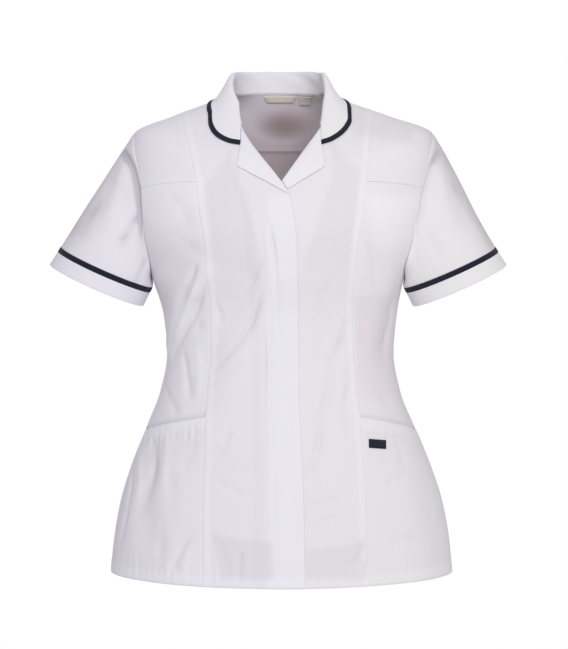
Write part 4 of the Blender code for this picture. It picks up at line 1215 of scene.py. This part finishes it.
def sleeve_frame(side):
    """Middle of the sleeve hem, its long and short half axes, and the sleeve's direction."""
    middle = np.array(SLEEVE_MIDDLE_RIGHT if side < 0 else SLEEVE_MIDDLE_LEFT)
    tilt = np.radians(SLEEVE_HEM_TILT)
    outwards = np.array([side * np.cos(tilt), 0.0, np.sin(tilt)])
    down = unit(np.array([side * np.sin(tilt), -SLEEVE_FORWARD, -np.cos(tilt)]))
    forward = unit(np.cross(down, outwards) * side)
    forward = forward if forward[1] < 0 else -forward
    return middle, outwards * SLEEVE_HEM_LONG, forward * SLEEVE_HEM_SHORT, down


def armhole_loop(side):
    """Shared (u, v) points round the armhole: underarm, front, shoulder tip, back."""
    front = chain(*armhole_front_points(side))
    back = chain(*armhole_back_points(side))[::-1]
    return np.concatenate([front, back[1:-1]])


@cache
def sleeve_surface(side):
    """Rings of points from the armhole to the sleeve hem: cubic curves between the two loops,
    leaving the armhole sideways and meeting the hem straight. Also each point's way round."""
    loop = armhole_loop(side)
    start = body(loop[:, 0], loop[:, 1])
    front_count = [len(part) - 1 for part in armhole_front_points(side)]
    back_count = [len(part) - 1 for part in armhole_back_points(side)]
    front_turn = chain(even(front_count[0]) * CHEST_SEAM_TURN,
                       CHEST_SEAM_TURN + (1 - CHEST_SEAM_TURN) * close_ends(ROWS_YOKE_FRONT))
    back_turn = chain(even(back_count[1]) * BACK_YOKE_SEAM_TURN,
                      BACK_YOKE_SEAM_TURN + (1 - BACK_YOKE_SEAM_TURN) * even(back_count[0]))
    turn = np.concatenate([np.pi * (1 - front_turn), -np.pi * back_turn[1:-1]])
    middle, outwards, forward, down = sleeve_frame(side)
    hem = middle + np.cos(turn)[:, None] * outwards + np.sin(turn)[:, None] * forward
    straight_part = CUFF_LENGTH + SLEEVE_TAPE
    wider = 1 + SLEEVE_TAPER / SLEEVE_HEM_LONG
    flare = SLEEVE_FLARE / SLEEVE_HEM_LONG * np.clip(np.cos(turn), 0, 1)
    end = middle - outwards * (wider - 1) + outwards * (np.cos(turn) * wider - flare)[:, None]
    end = end + np.sin(turn)[:, None] * forward - down * straight_part
    down = unit(hem - end)
    normal = body_normal(loop[:, 0], loop[:, 1])
    seam = np.roll(start, -1, axis=0) - np.roll(start, 1, axis=0)
    leave = unit(np.cross(seam, normal))
    # The sleeve leaves the armhole in the body's surface, towards a point inside the sleeve.
    towards = np.array(SLEEVE_MIDST) * (side, 1, 1) - start
    leave = leave * np.sign(np.sum(leave * towards, axis=-1, keepdims=True))
    weight = SLEEVE_SPREAD + SLEEVE_SPREAD_TOP * np.clip(np.cos(turn), 0, 1) ** 2
    weight = weight * smooth((-1.0, -0.6, 1.0), (0.0, 1.0, 1.0), np.cos(turn))
    leave = unit(leave * weight[:, None] + down * (1 - weight[:, None]))
    length = np.linalg.norm(end - start, axis=-1, keepdims=True)
    t = close_ends(SLEEVE_ROWS)[:, None, None]
    rings = ((1 + 2 * t) * (1 - t) ** 2 * start + t * t * (3 - 2 * t) * end
             + t * (1 - t) ** 2 * leave * length - t * t * (1 - t) * down * length)
    return rings, end, hem, normal, turn


def ring_normals(rings):
    """Outward directions of rings of points about a tube."""
    around = np.roll(rings, -1, axis=1) - np.roll(rings, 1, axis=1)
    along = np.gradient(rings, axis=0)
    normal = unit(np.cross(around, along))
    centre = rings.mean(axis=1, keepdims=True)
    facing = np.sign(np.sum(normal * (rings - centre), axis=(-1, -2), keepdims=True))
    return normal * facing


@cache
def armhole_walls(side):
    """Wall vectors on the armhole loop, mitred between the body and the sleeve."""
    rings, _, _, body_side, _ = sleeve_surface(side)
    sleeve_side = ring_normals(rings)[0]
    middle = unit(body_side + sleeve_side)
    spread = np.sum(middle * body_side, axis=-1, keepdims=True)
    return middle * THICK / np.maximum(spread, 0.6)


def below_underarm(side):
    """Wall vectors of the armhole for the body; the underarm keeps the panel's own wall."""
    vectors = armhole_walls(side).copy()
    loop = armhole_loop(side)
    vectors[0] = body_normal(loop[0, 0], loop[0, 1]) * THICK
    return vectors


def sleeve_crease_paths(side, rings, turn):
    """Each crease of a sleeve as (path, width, height), found on its rings."""
    t = even(CREASE_PIECES)
    degrees = np.degrees(turn)
    order = np.argsort(degrees)
    paths = []
    before = rings[:, np.sin(turn) > 0].reshape(-1, 3)
    for *ends, width, height in SLEEVE_FRONT_CREASES.rows():
        if ends[0] * side < 0:
            continue
        x, z = curve_through(*ends)
        seen_x, seen_z = in_picture(before)
        off = np.hypot(seen_x - x[:, None], seen_z - z[:, None])
        paths.append((before[np.argmin(off, axis=1)], width, height))
    for turn0, down0, turn1, down1, bow, width, height in SLEEVE_CREASES.rows():
        at = turn0 + (turn1 - turn0) * t - side * bow * 4 * t * (1 - t)
        column = order[np.clip(np.searchsorted(degrees[order], at), 0, len(order) - 1)]
        row = np.round((down0 + (down1 - down0) * t) * (len(rings) - 1)).astype(int)
        paths.append((rings[row, column], width, height))
    return paths


def sleeve(side, word):
    """Sleeve, its tape ring and its cuff."""
    rings, end, hem, _, turn = sleeve_surface(side)
    normal = ring_normals(rings)
    down = arc(wrap(rings), 0)[:, :-1]
    around = arc(wrap(rings), 1)[:, :-1]
    to_end = down[-1:] - down
    folds = crease_height(rings, sleeve_crease_paths(side, rings, turn)) * np.clip(down / 6, 0, 1)
    # A soft ridge over the turnings of the armhole, a dip at the tape, creases and ripples.
    height = seam_relief(down, around, "seam", 1.0 + side)
    height += 0.5 * bell(down - 5, 4)
    height -= 0.35 * bell(to_end, 1.0)
    height += folds
    height += ripple(rings * (1.3, 1, 1)) * np.clip(down / 20, 0, 1) * np.clip(to_end / 12, 0, 1)
    outer = rings + normal * height[..., None]
    inner = outer - normal * THICK
    inner[0] = outer[0] - armhole_walls(side)
    tone = PLAIN + OVER_ARMHOLE * step_down(down - ARMHOLE_TURNINGS, 0.7)
    # Painted shade in the troughs of the sleeve's creases.
    tone += SLEEVE_CREASE_SHADE[side] * np.minimum(folds, 0)
    # On the sleeve's front the zones add painted shade to its outer side.
    tone = np.maximum(tone + zone_tone(rings) * (np.sin(turn) > 0), LEAST)
    item = shell("sleeve_cloth_" + word, outer, inner, WHITE, tone, True, ("bottom", "top"))
    declare("sleeve_" + word)

    # The tape's edges reach a little over the sleeve and the cuff.
    tape_share = SLEEVE_TAPE / (SLEEVE_TAPE + CUFF_LENGTH)
    shares = np.array([-0.006, 0.03, 0.1, 0.5, 0.9, 0.97, 1.006]) * tape_share
    tape = end + (hem - end) * shares[:, None, None]
    flat = ring_normals(tape)
    raised = 0.25 + 0.3 * np.sin(np.pi * np.clip(shares / tape_share, 0, 1)) ** 0.3
    outer = tape + flat * raised[:, None, None]
    item = shell("sleeve_tape_ribbon_" + word, outer, tape - flat * THICK, BLUE,
                 np.zeros(outer.shape[:2]), True)
    declare("sleeve_tape_" + word)

    shares = tape_share + (1 - tape_share) * close_ends(10)
    cuff = end + (hem - end) * shares[:, None, None]
    flat = ring_normals(cuff)
    off = (1 - shares)[:, None] * (CUFF_LENGTH + SLEEVE_TAPE) + np.zeros(cuff.shape[:2])
    around = arc(wrap(cuff), 1)[:, :-1]
    # Puckers at the stitching, slow waves that grow upwards, and rounded edges.
    relief = 0.12 * pucker(around, side) * np.exp(-np.abs(off - CUFF_HEM) / 6)
    relief += 0.25 * np.sin(around / 19 + side) * (off / CUFF_LENGTH - 0.4)
    relief -= 0.3 * bell(off, 0.8) + 0.3 * bell(CUFF_LENGTH - off, 0.8)
    outer = cuff + flat * relief[..., None]
    item = shell("cuff_cloth_" + word, outer, outer - flat * THICK, WHITE,
                 np.full(outer.shape[:2], CUFF), True, ("bottom",))
    declare("cuff_" + word)
    PANELS["cuff_" + word] = {"outer": outer, "normal": flat, "off": {"bottom": off}}


def lap_lift(side, grid):
    """Lift of the right front over the left one; it fades by the V."""
    if side > 0:
        return np.zeros(grid.shape[:2])
    height = torso(grid[..., 0], grid[..., 1])[..., 2]
    return np.interp(height, LAP_FADE_Z, (WALL + LAP_GAP, 0.0))


def front(side, word):
    """Centre front from the edge to the panel seam, up to the shoulder."""
    shares = close_ends(COLUMNS_FRONT)
    left = chain(*inner_edge_points(side))
    right = chain(*panel_seam_points(side))
    grid = patch(left, right, between(left[0], right[0], shares),
                 shoulder_points(side, shares, even(2))[0], shares)
    lapped = np.interp(shares, LAP_SHARES, (1.0, 0.0))
    kinds = ("fly" if side < 0 else "free") + " pressed hem seam"
    item = panel("front_cloth_" + word, grid, kinds, lap_lift(side, grid) * lapped, seed=side)
    declare("front_" + word)


@cache
def side_grids(side):
    """(u, v) grids of the side front below and above the pocket mouth."""
    seam = panel_seam_points(side)
    edge = side_seam_points(side)
    arm = armhole_front_points(side)[0]
    shares = close_ends(COLUMNS_SIDE)
    mouth = between(seam[0][-1], edge[0][-1], shares)
    chest = between(seam[1][-1], arm[-1], shares)
    hem = between(seam[0][0], edge[0][0], shares)
    return (patch(seam[0], edge[0], hem, mouth, shares),
            patch(seam[1], chain(edge[1], arm), mouth, chest, shares))


def side_front(side, word):
    """Side front from the hem to the chest seam, sunk behind the pocket, and the pocket."""
    low, high = side_grids(side)
    grid = np.concatenate([low, high[1:]])
    # From behind the pocket it comes forward again in a few rows about the mouth.
    sunk = np.interp(np.arange(len(grid)), ROWS_POCKET + np.array([-8, 1, 3, 12]),
                     (-WALL - POCKET_GAP, -2.6, -0.9, 0.0))
    arm = below_underarm(side)[:ROWS_ARMHOLE_FRONT + 1]
    item = panel("side_front_cloth_" + word, grid, "seam seam free " + CHEST_SEAM[side],
                 sunk[:, None], (np.s_[ROWS_POCKET + ROWS_SIDE_SEAM:, -1], arm), seed=2 + side)
    declare("side_front_" + word)
    gape, pull = MOUTHS[side]
    gape = gape * np.sin(np.pi * close_ends(COLUMNS_SIDE)) * even(len(low) - 1)[:, None] ** 8
    item = panel("pocket_cloth_" + word, low, "seam seam hem mouth", gape, tone=POCKET,
                 seed=5 + side, pull=pull)
    declare("pocket_" + word)


def front_yoke(side, word):
    """Upper side front between the chest seam and the shoulder."""
    shares = close_ends(COLUMNS_YOKE)
    left = panel_seam_points(side)[2]
    right = armhole_front_points(side)[1]
    grid = patch(left, right, between(left[0], right[0], shares),
                 shoulder_points(side, even(2), shares)[1], shares)
    arm = below_underarm(side)[ROWS_ARMHOLE_FRONT:][:len(right)]
    item = panel("front_yoke_cloth_" + word, grid, "seam seam " + CHEST_SEAM[side] + " flat",
                 inward=(np.s_[:, -1], arm), tone=FRONT_YOKE, seed=7 + side)
    declare("front_yoke_" + word)


def at_both_ends(rows, walls):
    """The first and last column of some rows, and the wall vectors of both armholes there."""
    picked = (np.tile(rows, 2), np.repeat([0, -1], len(rows)))
    return picked, np.concatenate([wall[:len(rows)] for wall in walls])


def back():
    """Back from the hem to the yoke seam, and the back yoke above it. Its angles are counted
    onwards past 180, so that they are one run."""
    shares = close_ends(COLUMNS_BACK)
    sides = []
    for side in (1, -1):
        parts = [chain(*side_seam_points(side)), *armhole_back_points(side),
                 chain(*shoulder_points(side, close_ends(COLUMNS_FRONT), even(COLUMNS_YOKE)))[::-1]]
        sides.append([part + [[0.0 if side > 0 else 360.0, 0.0]] for part in parts])
    left, right = sides
    a, b = left[1][-1], right[1][-1]
    u = a[0] + (b[0] - a[0]) * shares
    seam = np.stack([u, level_at(u, np.full(len(u), BACK_YOKE_SEAM_Z))], -1)
    seam[0], seam[-1] = a, b
    under = len(left[0]) - 1
    waist = patch(left[0], right[0], between(left[0][0], right[0][0], shares),
                  between(left[1][0], right[1][0], shares), shares)
    upper = patch(left[1], right[1], waist[-1], seam, shares, BACK_HOLD)
    low = np.concatenate([waist, upper[1:]])
    neck = np.stack([90 + 180 * shares, np.ones(len(shares))], -1)
    high = patch(chain(left[2], left[3]), chain(right[2], right[3]), seam, neck, shares, BACK_HOLD)
    front_rows = len(chain(*armhole_front_points(1))) - 1
    walls = []
    for side in (1, -1):
        around = below_underarm(side)
        walls.append(np.concatenate([around[front_rows:], around[:1]])[::-1])
    item = panel("back_cloth", low, "seam seam hem seam", seed=11,
                 inward=at_both_ends(np.arange(under, len(low)), walls))
    declare("back")
    walls = [wall[len(low) - under - 1:] for wall in walls]
    item = panel("back_yoke_cloth", high, "seam seam pressed seam", tone=BACK_YOKE, seed=13,
                 inward=at_both_ends(np.arange(ROWS_ARMHOLE_YOKE + 1), walls))
    declare("back_yoke")


def lapel(side, word):
    """Lapel turned out along the roll line, lying on its front."""
    corner, notch, gorge = ((side * x, z) for x, z in (LAPEL_CORNER, LAPEL_NOTCH, LAPEL_GORGE))
    if side > 0:
        seen = chain(straight(LEFT_LAPEL_FOOT, LEFT_LAPEL_CROSSING, 8),
                     straight(LEFT_LAPEL_CROSSING, gorge, LAPEL_ROWS - 8))
    else:
        seen = torso(*inner_edge_points(side)[2].T)[:, [0, 2]]
        seen = seen[np.linspace(0, len(seen) - 1, LAPEL_ROWS + 1).astype(int)]
        seen[-1] = gorge
    shares = close_ends(LAPEL_COLUMNS)
    left = front_at(seen[:, 0], seen[:, 1])
    right = front_at(*straight(corner, notch, LAPEL_ROWS).T)
    bottom = front_at(*between(seen[0], corner, shares).T)
    top = front_at(*between(gorge, notch, shares).T)
    grid = patch(left, right, bottom, top, shares)
    u, v = grid[..., 0], grid[..., 1]
    plain = torso(u, v)
    off = arc(plain, 1)
    rise = arc(plain, 0)
    bulge = 0.9 * np.sin(np.pi * off / off[:, -1:]) * np.sin(np.pi * rise / rise[-1:]).clip(0)
    to_corner = off[:, -1:] - off
    stitched = -0.22 * bell(to_corner - LAPEL_STITCH, 0.9) - 0.22 * bell(rise - LAPEL_STITCH, 0.9)
    height = LAP_GAP + WALL + lap_lift(side, grid) - 0.9 * bell(off, 2.5) + bulge + stitched
    outer = body(u, v, height + 0.4 * ripple(plain))
    normal = surface_normals(outer, body_normal(u, v))
    item = shell("lapel_cloth_" + word, outer, outer - normal * THICK, WHITE,
                 np.full(u.shape, LAPEL))
    declare("lapel_" + word)


def neck_stations():
    """Collar stations on the neck seam, right gorge to left gorge: (u, v), points, normals and
    the collar's step, as in COLLAR_STEPS."""
    right, left = (inner_edge_points(side)[3] for side in (-1, 1))
    pick = np.linspace(0, len(right) - 1, COLLAR_FRONT_STEPS + 1)
    whole = np.arange(len(right))
    right, left = (np.stack([np.interp(pick, whole, part[:, k]) for k in (0, 1)], -1)
                   for part in (right, left))
    back_u = np.linspace(270, 90, COLLAR_BACK_STEPS + 1)
    ring = np.stack([back_u, np.ones(COLLAR_BACK_STEPS + 1)], -1)
    seam = chain(right + [[360.0, 0.0]], ring, left[::-1])
    gorge, at_side, at_back = COLLAR_STEPS.values()
    before = np.linspace(gorge, at_side, COLLAR_FRONT_STEPS + 1)
    to_back = 1 - np.abs(np.linspace(-1, 1, COLLAR_BACK_STEPS + 1))
    step = chain(before, at_side + (at_back - at_side) * to_back, before[::-1])
    return seam, body(seam[:, 0], seam[:, 1]), body_normal(seam[:, 0], seam[:, 1]), step


def collar_edge_points():
    """(u, v) of the collar's outer edge at every station."""
    step = np.linspace(0, 5, 60)
    sides = []
    for side, word in SIDES:
        x = side * COLLAR_EDGE_FRONT(word + "_x", step)
        low = front_at(x, COLLAR_EDGE_FRONT(word + "_z", step))
        over = straight(low[-1], (side * 90.0, COLLAR_EDGE_SHOULDER_V[word]), 8)
        line = Line(chain(low, over))
        sides.append(line.stretch(0, line.run[-1], even(COLLAR_FRONT_STEPS)))
    sides[0] = sides[0] + [[360.0, 0.0]]
    u = np.linspace(270, 90, COLLAR_BACK_STEPS + 1)
    fall = np.abs(np.cos(np.radians(u))) ** 1.5
    shoulder = np.linspace(*COLLAR_EDGE_SHOULDER_V.values(), COLLAR_BACK_STEPS + 1)
    v = shoulder + (COLLAR_EDGE_BACK_V - shoulder) * fall
    return chain(sides[0], np.stack([u, v], -1), sides[1][::-1])


def bezier(points, t):
    """Cubic curve of four control points (each an array of stations) at the shares t."""
    a, b, c, d = points
    t = np.asarray(t)[:, None, None]
    return (1 - t) ** 3 * a + 3 * t * (1 - t) ** 2 * b + 3 * t * t * (1 - t) * c + t ** 3 * d


def clear_of_body(rows, seam, edge_place, clear):
    """Rows of station points moved out to stay at least clear above the body beneath them."""
    share = even(24)[:, None, None]
    under = edge_place + (seam - edge_place) * share
    ground = body(under[..., 0], under[..., 1])
    normal = body_normal(under[..., 0], under[..., 1])
    station = np.arange(len(seam))
    moved = []
    for row in rows:
        nearest = np.argmin(np.linalg.norm(ground - row, axis=-1), axis=0)
        up = normal[nearest, station]
        height = np.sum((row - ground[nearest, station]) * up, axis=-1, keepdims=True)
        moved.append(row + up * np.maximum(clear - height, 0))
    return np.stack(moved)


def collar():
    """Collar stand, fold and fall in one wall, and the tape bound along its outer edge."""
    seam, seam_point, seam_normal, step = neck_stations()
    edge_place = collar_edge_points()
    half = THICK / 2
    rise = unit(np.array([0.0, 0.0, 1.0]) + seam_normal * COLLAR_ROLL("lean", step)[:, None])
    roll = seam_point + rise * COLLAR_ROLL("height", step)[:, None]
    out_of_panel = unit(np.cross(seam_normal, np.gradient(seam_point, axis=0)))
    inside = np.array(NECK_MIDDLE) - seam_point
    out_of_panel = out_of_panel * np.sign(np.sum(out_of_panel * inside, axis=-1, keepdims=True))
    lean = np.linalg.norm(np.cross(out_of_panel, rise), axis=-1, keepdims=True)
    base = seam_point - seam_normal * WALL / 2 + out_of_panel * (COLLAR_FOOT_GAP + half * lean)
    edge_normal = body_normal(edge_place[:, 0], edge_place[:, 1])
    edge = body(edge_place[:, 0], edge_place[:, 1]) + edge_normal * (COLLAR_CLEAR + half)
    back_up = roll - edge
    back_up = unit(back_up - edge_normal * np.sum(back_up * edge_normal, axis=-1, keepdims=True))
    tape_top = edge + back_up * COLLAR_TAPE
    outwards = unit((edge - roll) * (1, 1, 0))
    height = np.linalg.norm(roll - base, axis=-1, keepdims=True)
    bow = np.clip(height * COLLAR_BOW, *COLLAR_BOWS)
    fall = np.linalg.norm(roll - tape_top, axis=-1, keepdims=True)
    stand = bezier((base, base + rise * height * 0.5, roll - outwards * bow, roll),
                   even(COLLAR_STAND_ROWS))
    drop = bezier((roll, roll + outwards * bow * 1.3, tape_top + back_up * fall * 0.3, tape_top),
                  even(COLLAR_FALL_ROWS)[1:])
    drop = clear_of_body(drop, seam, edge_place, COLLAR_CLEAR + half)
    tape_rows = tape_top + (edge - tape_top) * even(COLLAR_TAPE_ROWS)[1:, None, None]
    sheet = np.concatenate([stand, drop, tape_rows])
    normal = unit(np.cross(np.gradient(sheet, axis=1), np.gradient(sheet, axis=0)))
    normal = normal * np.sign(np.sum(normal[-1] * edge_normal))
    run = arc(sheet, 1)
    cut = len(sheet) - COLLAR_TAPE_ROWS
    rows = np.arange(len(sheet))[:, None]
    # Puckers beside the tape, and soft waves on the fall, along the fold and on the stand.
    wave = pucker(run * 0.6, 3.0) * 0.16 * np.exp(-np.abs(rows - cut + 1) / 4)
    soft = 0.35 * np.sin(run / 17 + 1.4) * bell(rows - COLLAR_STAND_ROWS - 8, 7.0)
    soft += 0.3 * np.sin(run / 9.5) * bell(rows - COLLAR_STAND_ROWS, 5.0)
    soft += 0.9 * np.sin(run / 8.3 + rows / 3.1) * bell(rows - 7, 4.0)
    sheet = sheet + normal * (wave + soft)[..., None] * (rows < cut)[..., None]
    outer = sheet + normal * half
    inner = sheet - normal * half
    tone = np.full((cut, len(seam)), COLLAR)
    item = shell("collar_cloth", outer[:cut], inner[:cut], WHITE, tone)
    declare("collar")
    sheet, normal = sheet[cut - 1:], normal[cut - 1:]
    item = shell("collar_tape_ribbon", sheet + normal * (half + 0.25),
                 sheet - normal * (half + 0.1), BLUE, np.zeros(sheet.shape[:2]))
    declare("collar_tape")


def inside_label(name, node, sides, heights, taper, thick):
    """Label or loop of tape sewn inside the back at the neck seam, its text left off."""
    high = even(10)[:, None]
    left = sides[0] + taper * (1 - high)
    right = sides[1] - taper * (1 - high)
    x = left + (right - left) * even(30)
    z = heights[0] + (heights[1] - heights[0]) * high + 0 * x
    v = level_at(np.full(x.shape, 180.0), z)
    u = 180 - angle_at(x, v)
    sag = 0.5 * np.sin(np.pi * (x - sides[0]) / (sides[1] - sides[0])) * (1 - high)
    outer = body(u, v, -(WALL + LABEL_GAP) - sag)
    inner = outer - body_normal(u, v) * thick
    item = shell(name, outer, inner, CREAM, np.zeros(u.shape))
    declare(node)


def pocket_tab():
    """Plain woven tab sewn on the wearer's left pocket, a little lower at its outer end."""
    across, up = even(24)[None], even(12)[:, None]
    x = TAB_X[0] + (TAB_X[1] - TAB_X[0]) * across + 0 * up
    z = TAB_BOTTOM_Z + TAB_HEIGHT * up - TAB_DROP * across
    u, v = np.moveaxis(front_at(x, z), -1, 0)
    edge = np.minimum(np.minimum(across, 1 - across) * (TAB_X[1] - TAB_X[0]),
                      np.minimum(up, 1 - up) * TAB_HEIGHT)
    plain = torso(u, v)
    lift = crease_height(plain, BODY_CREASES) + ripple(plain) + 0.4
    height = 1.3 - 0.45 * bell(edge, 0.7) + 0.15 * np.sin(np.pi * across)
    item = shell("pocket_tab_ribbon", body(u, v, height + lift), body(u, v, lift - 0.2), BLUE,
                 np.zeros(u.shape))
    declare("pocket_tab")


def line_on(panel_name, edge, depth):
    """Points and normals of a panel at a distance in from one of its edges."""
    grid = PANELS[panel_name]
    outer, normal, off = grid["outer"], grid["normal"], grid["off"][edge]
    if edge in ("left", "right"):
        outer, normal, off = (np.swapaxes(part, 0, 1) for part in (outer, normal, off))
    if edge in ("right", "top"):
        outer, normal, off = outer[::-1], normal[::-1], off[::-1]
    # The cuffs' rows run down to their edge, the others' up from it.
    if off[0].mean() > off[-1].mean():
        outer, normal, off = outer[::-1], normal[::-1], off[::-1]
    k = np.clip((off < depth).sum(axis=0), 1, len(off) - 1)
    station = np.arange(outer.shape[1])
    t = ((depth - off[k - 1, station]) / (off[k, station] - off[k - 1, station]))[:, None]
    points = outer[k - 1, station] * (1 - t) + outer[k, station] * t
    return points, normal[k, station]


def stitches(name, lines):
    """Rows of sewing thread: short capsules of six rings along each line, their ends sunk in the
    cloth."""
    along = np.array([-1.0, -0.8, -0.35, 0.35, 0.8, 1.0])
    size = np.array([0.25, 0.85, 1.0, 1.0, 0.85, 0.25])[:, None] * STITCH_RADIUS
    turn = np.linspace(0, 2 * np.pi, 6, endpoint=False)
    places = []
    for points, normal in lines:
        run = arc(points, 0)
        at = np.arange(STITCH_PITCH, run[-1] - STITCH_PITCH, STITCH_PITCH)
        centre, ahead, up = (np.stack([np.interp(where, run, part[:, k]) for k in range(3)], -1)
                             for where, part in ((at, points), (at + 1, points), (at, normal)))
        places.append(np.stack([centre, unit(ahead - centre), unit(up)], 1))
    place = np.concatenate(places)[:, :, None, None]
    centre, forward, up = place[:, 0], place[:, 1], place[:, 2]
    lengthwise = along[:, None, None] * STITCH_LENGTH / 2
    rise = 0.12 - 0.28 * along[:, None] ** 4 + size * np.sin(turn)
    points = (centre + forward * lengthwise + up * rise[..., None]
              + np.cross(up, forward) * (size * np.cos(turn))[..., None])
    rings, around = rise.shape
    index = np.arange(rings * around).reshape(rings, around)
    turned = np.roll(index, -1, axis=1)
    quads = np.stack([index[:-1], turned[:-1], turned[1:], index[1:]], -1).reshape(-1, 4)
    caps = np.array([[0, 5, 4, 3], [0, 3, 2, 1], [30, 31, 32, 33], [30, 33, 34, 35]])
    quads = np.concatenate([quads, caps])[:, ::-1]
    shift = np.arange(len(place))[:, None, None] * rings * around
    new_mesh(name, points.reshape(-1, 3), (quads + shift).reshape(-1, 4), THREAD)


def build():
    """The whole tunic."""
    for side, word in SIDES:
        front(side, word)
        side_front(side, word)
        front_yoke(side, word)
        sleeve(side, word)
        lapel(side, word)
    back()
    collar()
    inside_label("hanger_loop_tape", "hanger_loop", HANGER_LOOP_X, HANGER_LOOP_Z,
                 HANGER_LOOP_TAPER, 0.8)
    inside_label("size_label_tape", "size_label", SIZE_LABEL_X, SIZE_LABEL_Z, 0.0, 0.6)
    pocket_tab()
    fronts = ("front_cloth_right", "front_cloth_left")
    pockets = ("pocket_cloth_right", "pocket_cloth_left")
    for name, edge, depth, panels in (
            ("stitches_hem", "bottom", HEM_DEPTH, (*fronts, *pockets, "back_cloth")),
            ("stitches_fly", "left", FLY_DEPTH, fronts[:1]),
            ("stitches_pockets", "top", MOUTH_HEM, pockets),
            ("stitches_cuffs", "bottom", CUFF_HEM, ("cuff_right", "cuff_left"))):
        stitches(name, [line_on(panel_name, edge, depth) for panel_name in panels])


def floor():
    """Round pale floor that fades out towards its rim."""
    rings, around = 24, 72
    radius = even(rings)[1:, None] ** 0.5 * FLOOR_RADIUS
    turn = np.linspace(0, 2 * np.pi, around, endpoint=False)
    points = np.stack([radius * np.cos(turn), radius * np.sin(turn),
                       np.full((rings, around), FLOOR_Z)], -1).reshape(-1, 3)
    index = np.arange(rings * around).reshape(rings, around)
    turned = np.roll(index, -1, axis=1)
    quads = np.stack([index[:-1], index[1:], turned[1:], turned[:-1]], -1).reshape(-1, 4)
    mesh = bpy.data.meshes.new("floor")
    mesh.from_pydata(points.tolist(), [], quads.tolist() + [list(range(around))])
    mesh.update()
    made = Finish("pale floor", (0.86, 0.86, 0.87), 0.7, 0.0)
    where = made.node("TexCoord", output="Object")
    far = made.node("VectorMath", {0: where}, output="Value", operation="LENGTH")
    fade = made.node("MapRange", {"Value": far, "From Min": 1.15, "From Max": 1.75, "To Min": 1.0,
                                  "To Max": 0.0}, interpolation_type="SMOOTHSTEP")
    made.set("Alpha", fade)
    mesh.materials.append(made.material)
    put("floor", mesh)


def room():
    """World: white as the camera sees it, a soft bluish fill for the tunic."""
    world = bpy.data.worlds.new("room")
    bpy.context.scene.world = world
    world.use_nodes = True
    tree = world.node_tree
    tree.nodes.clear()
    path, mix, out = (tree.nodes.new("ShaderNode" + kind)
                      for kind in ("LightPath", "MixShader", "OutputWorld"))
    tree.links.new(path.outputs["Is Camera Ray"], mix.inputs["Fac"])
    for socket, colour, strength in ((1, (0.965, 0.95, 1.0, 1), 0.53), (2, (1, 1, 1, 1), 1.0)):
        glow = tree.nodes.new("ShaderNodeBackground")
        glow.inputs["Color"].default_value = colour
        glow.inputs["Strength"].default_value = strength
        tree.links.new(glow.outputs[0], mix.inputs[socket])
    tree.links.new(mix.outputs[0], out.inputs["Surface"])


def studio():
    """Pale floor that fades into a white room, soft lights, and the camera at the eye."""
    floor()
    room()
    for name, place, size, power, colour in LIGHTS:
        lamp = bpy.data.lights.new(name, "AREA")
        lamp.shape = "DISK"
        lamp.size = size
        lamp.energy = power
        lamp.color = colour
        item = put(name, lamp)
        item.location = place
        item.rotation_mode = "QUATERNION"
        item.rotation_quaternion = (Vector(LIT_POINT) - Vector(place)).to_track_quat("-Z", "Y")
    lens = bpy.data.cameras.new("camera")
    lens.lens = CAMERA_LENS
    lens.sensor_width = 36.0
    camera = put("camera", lens)
    camera.location = np.array(EYE) * MM
    camera.rotation_euler = (np.pi / 2, 0.0, 0.0)
    bpy.context.scene.camera = camera
    bpy.context.scene.view_settings.view_transform = "Standard"


build()
studio()
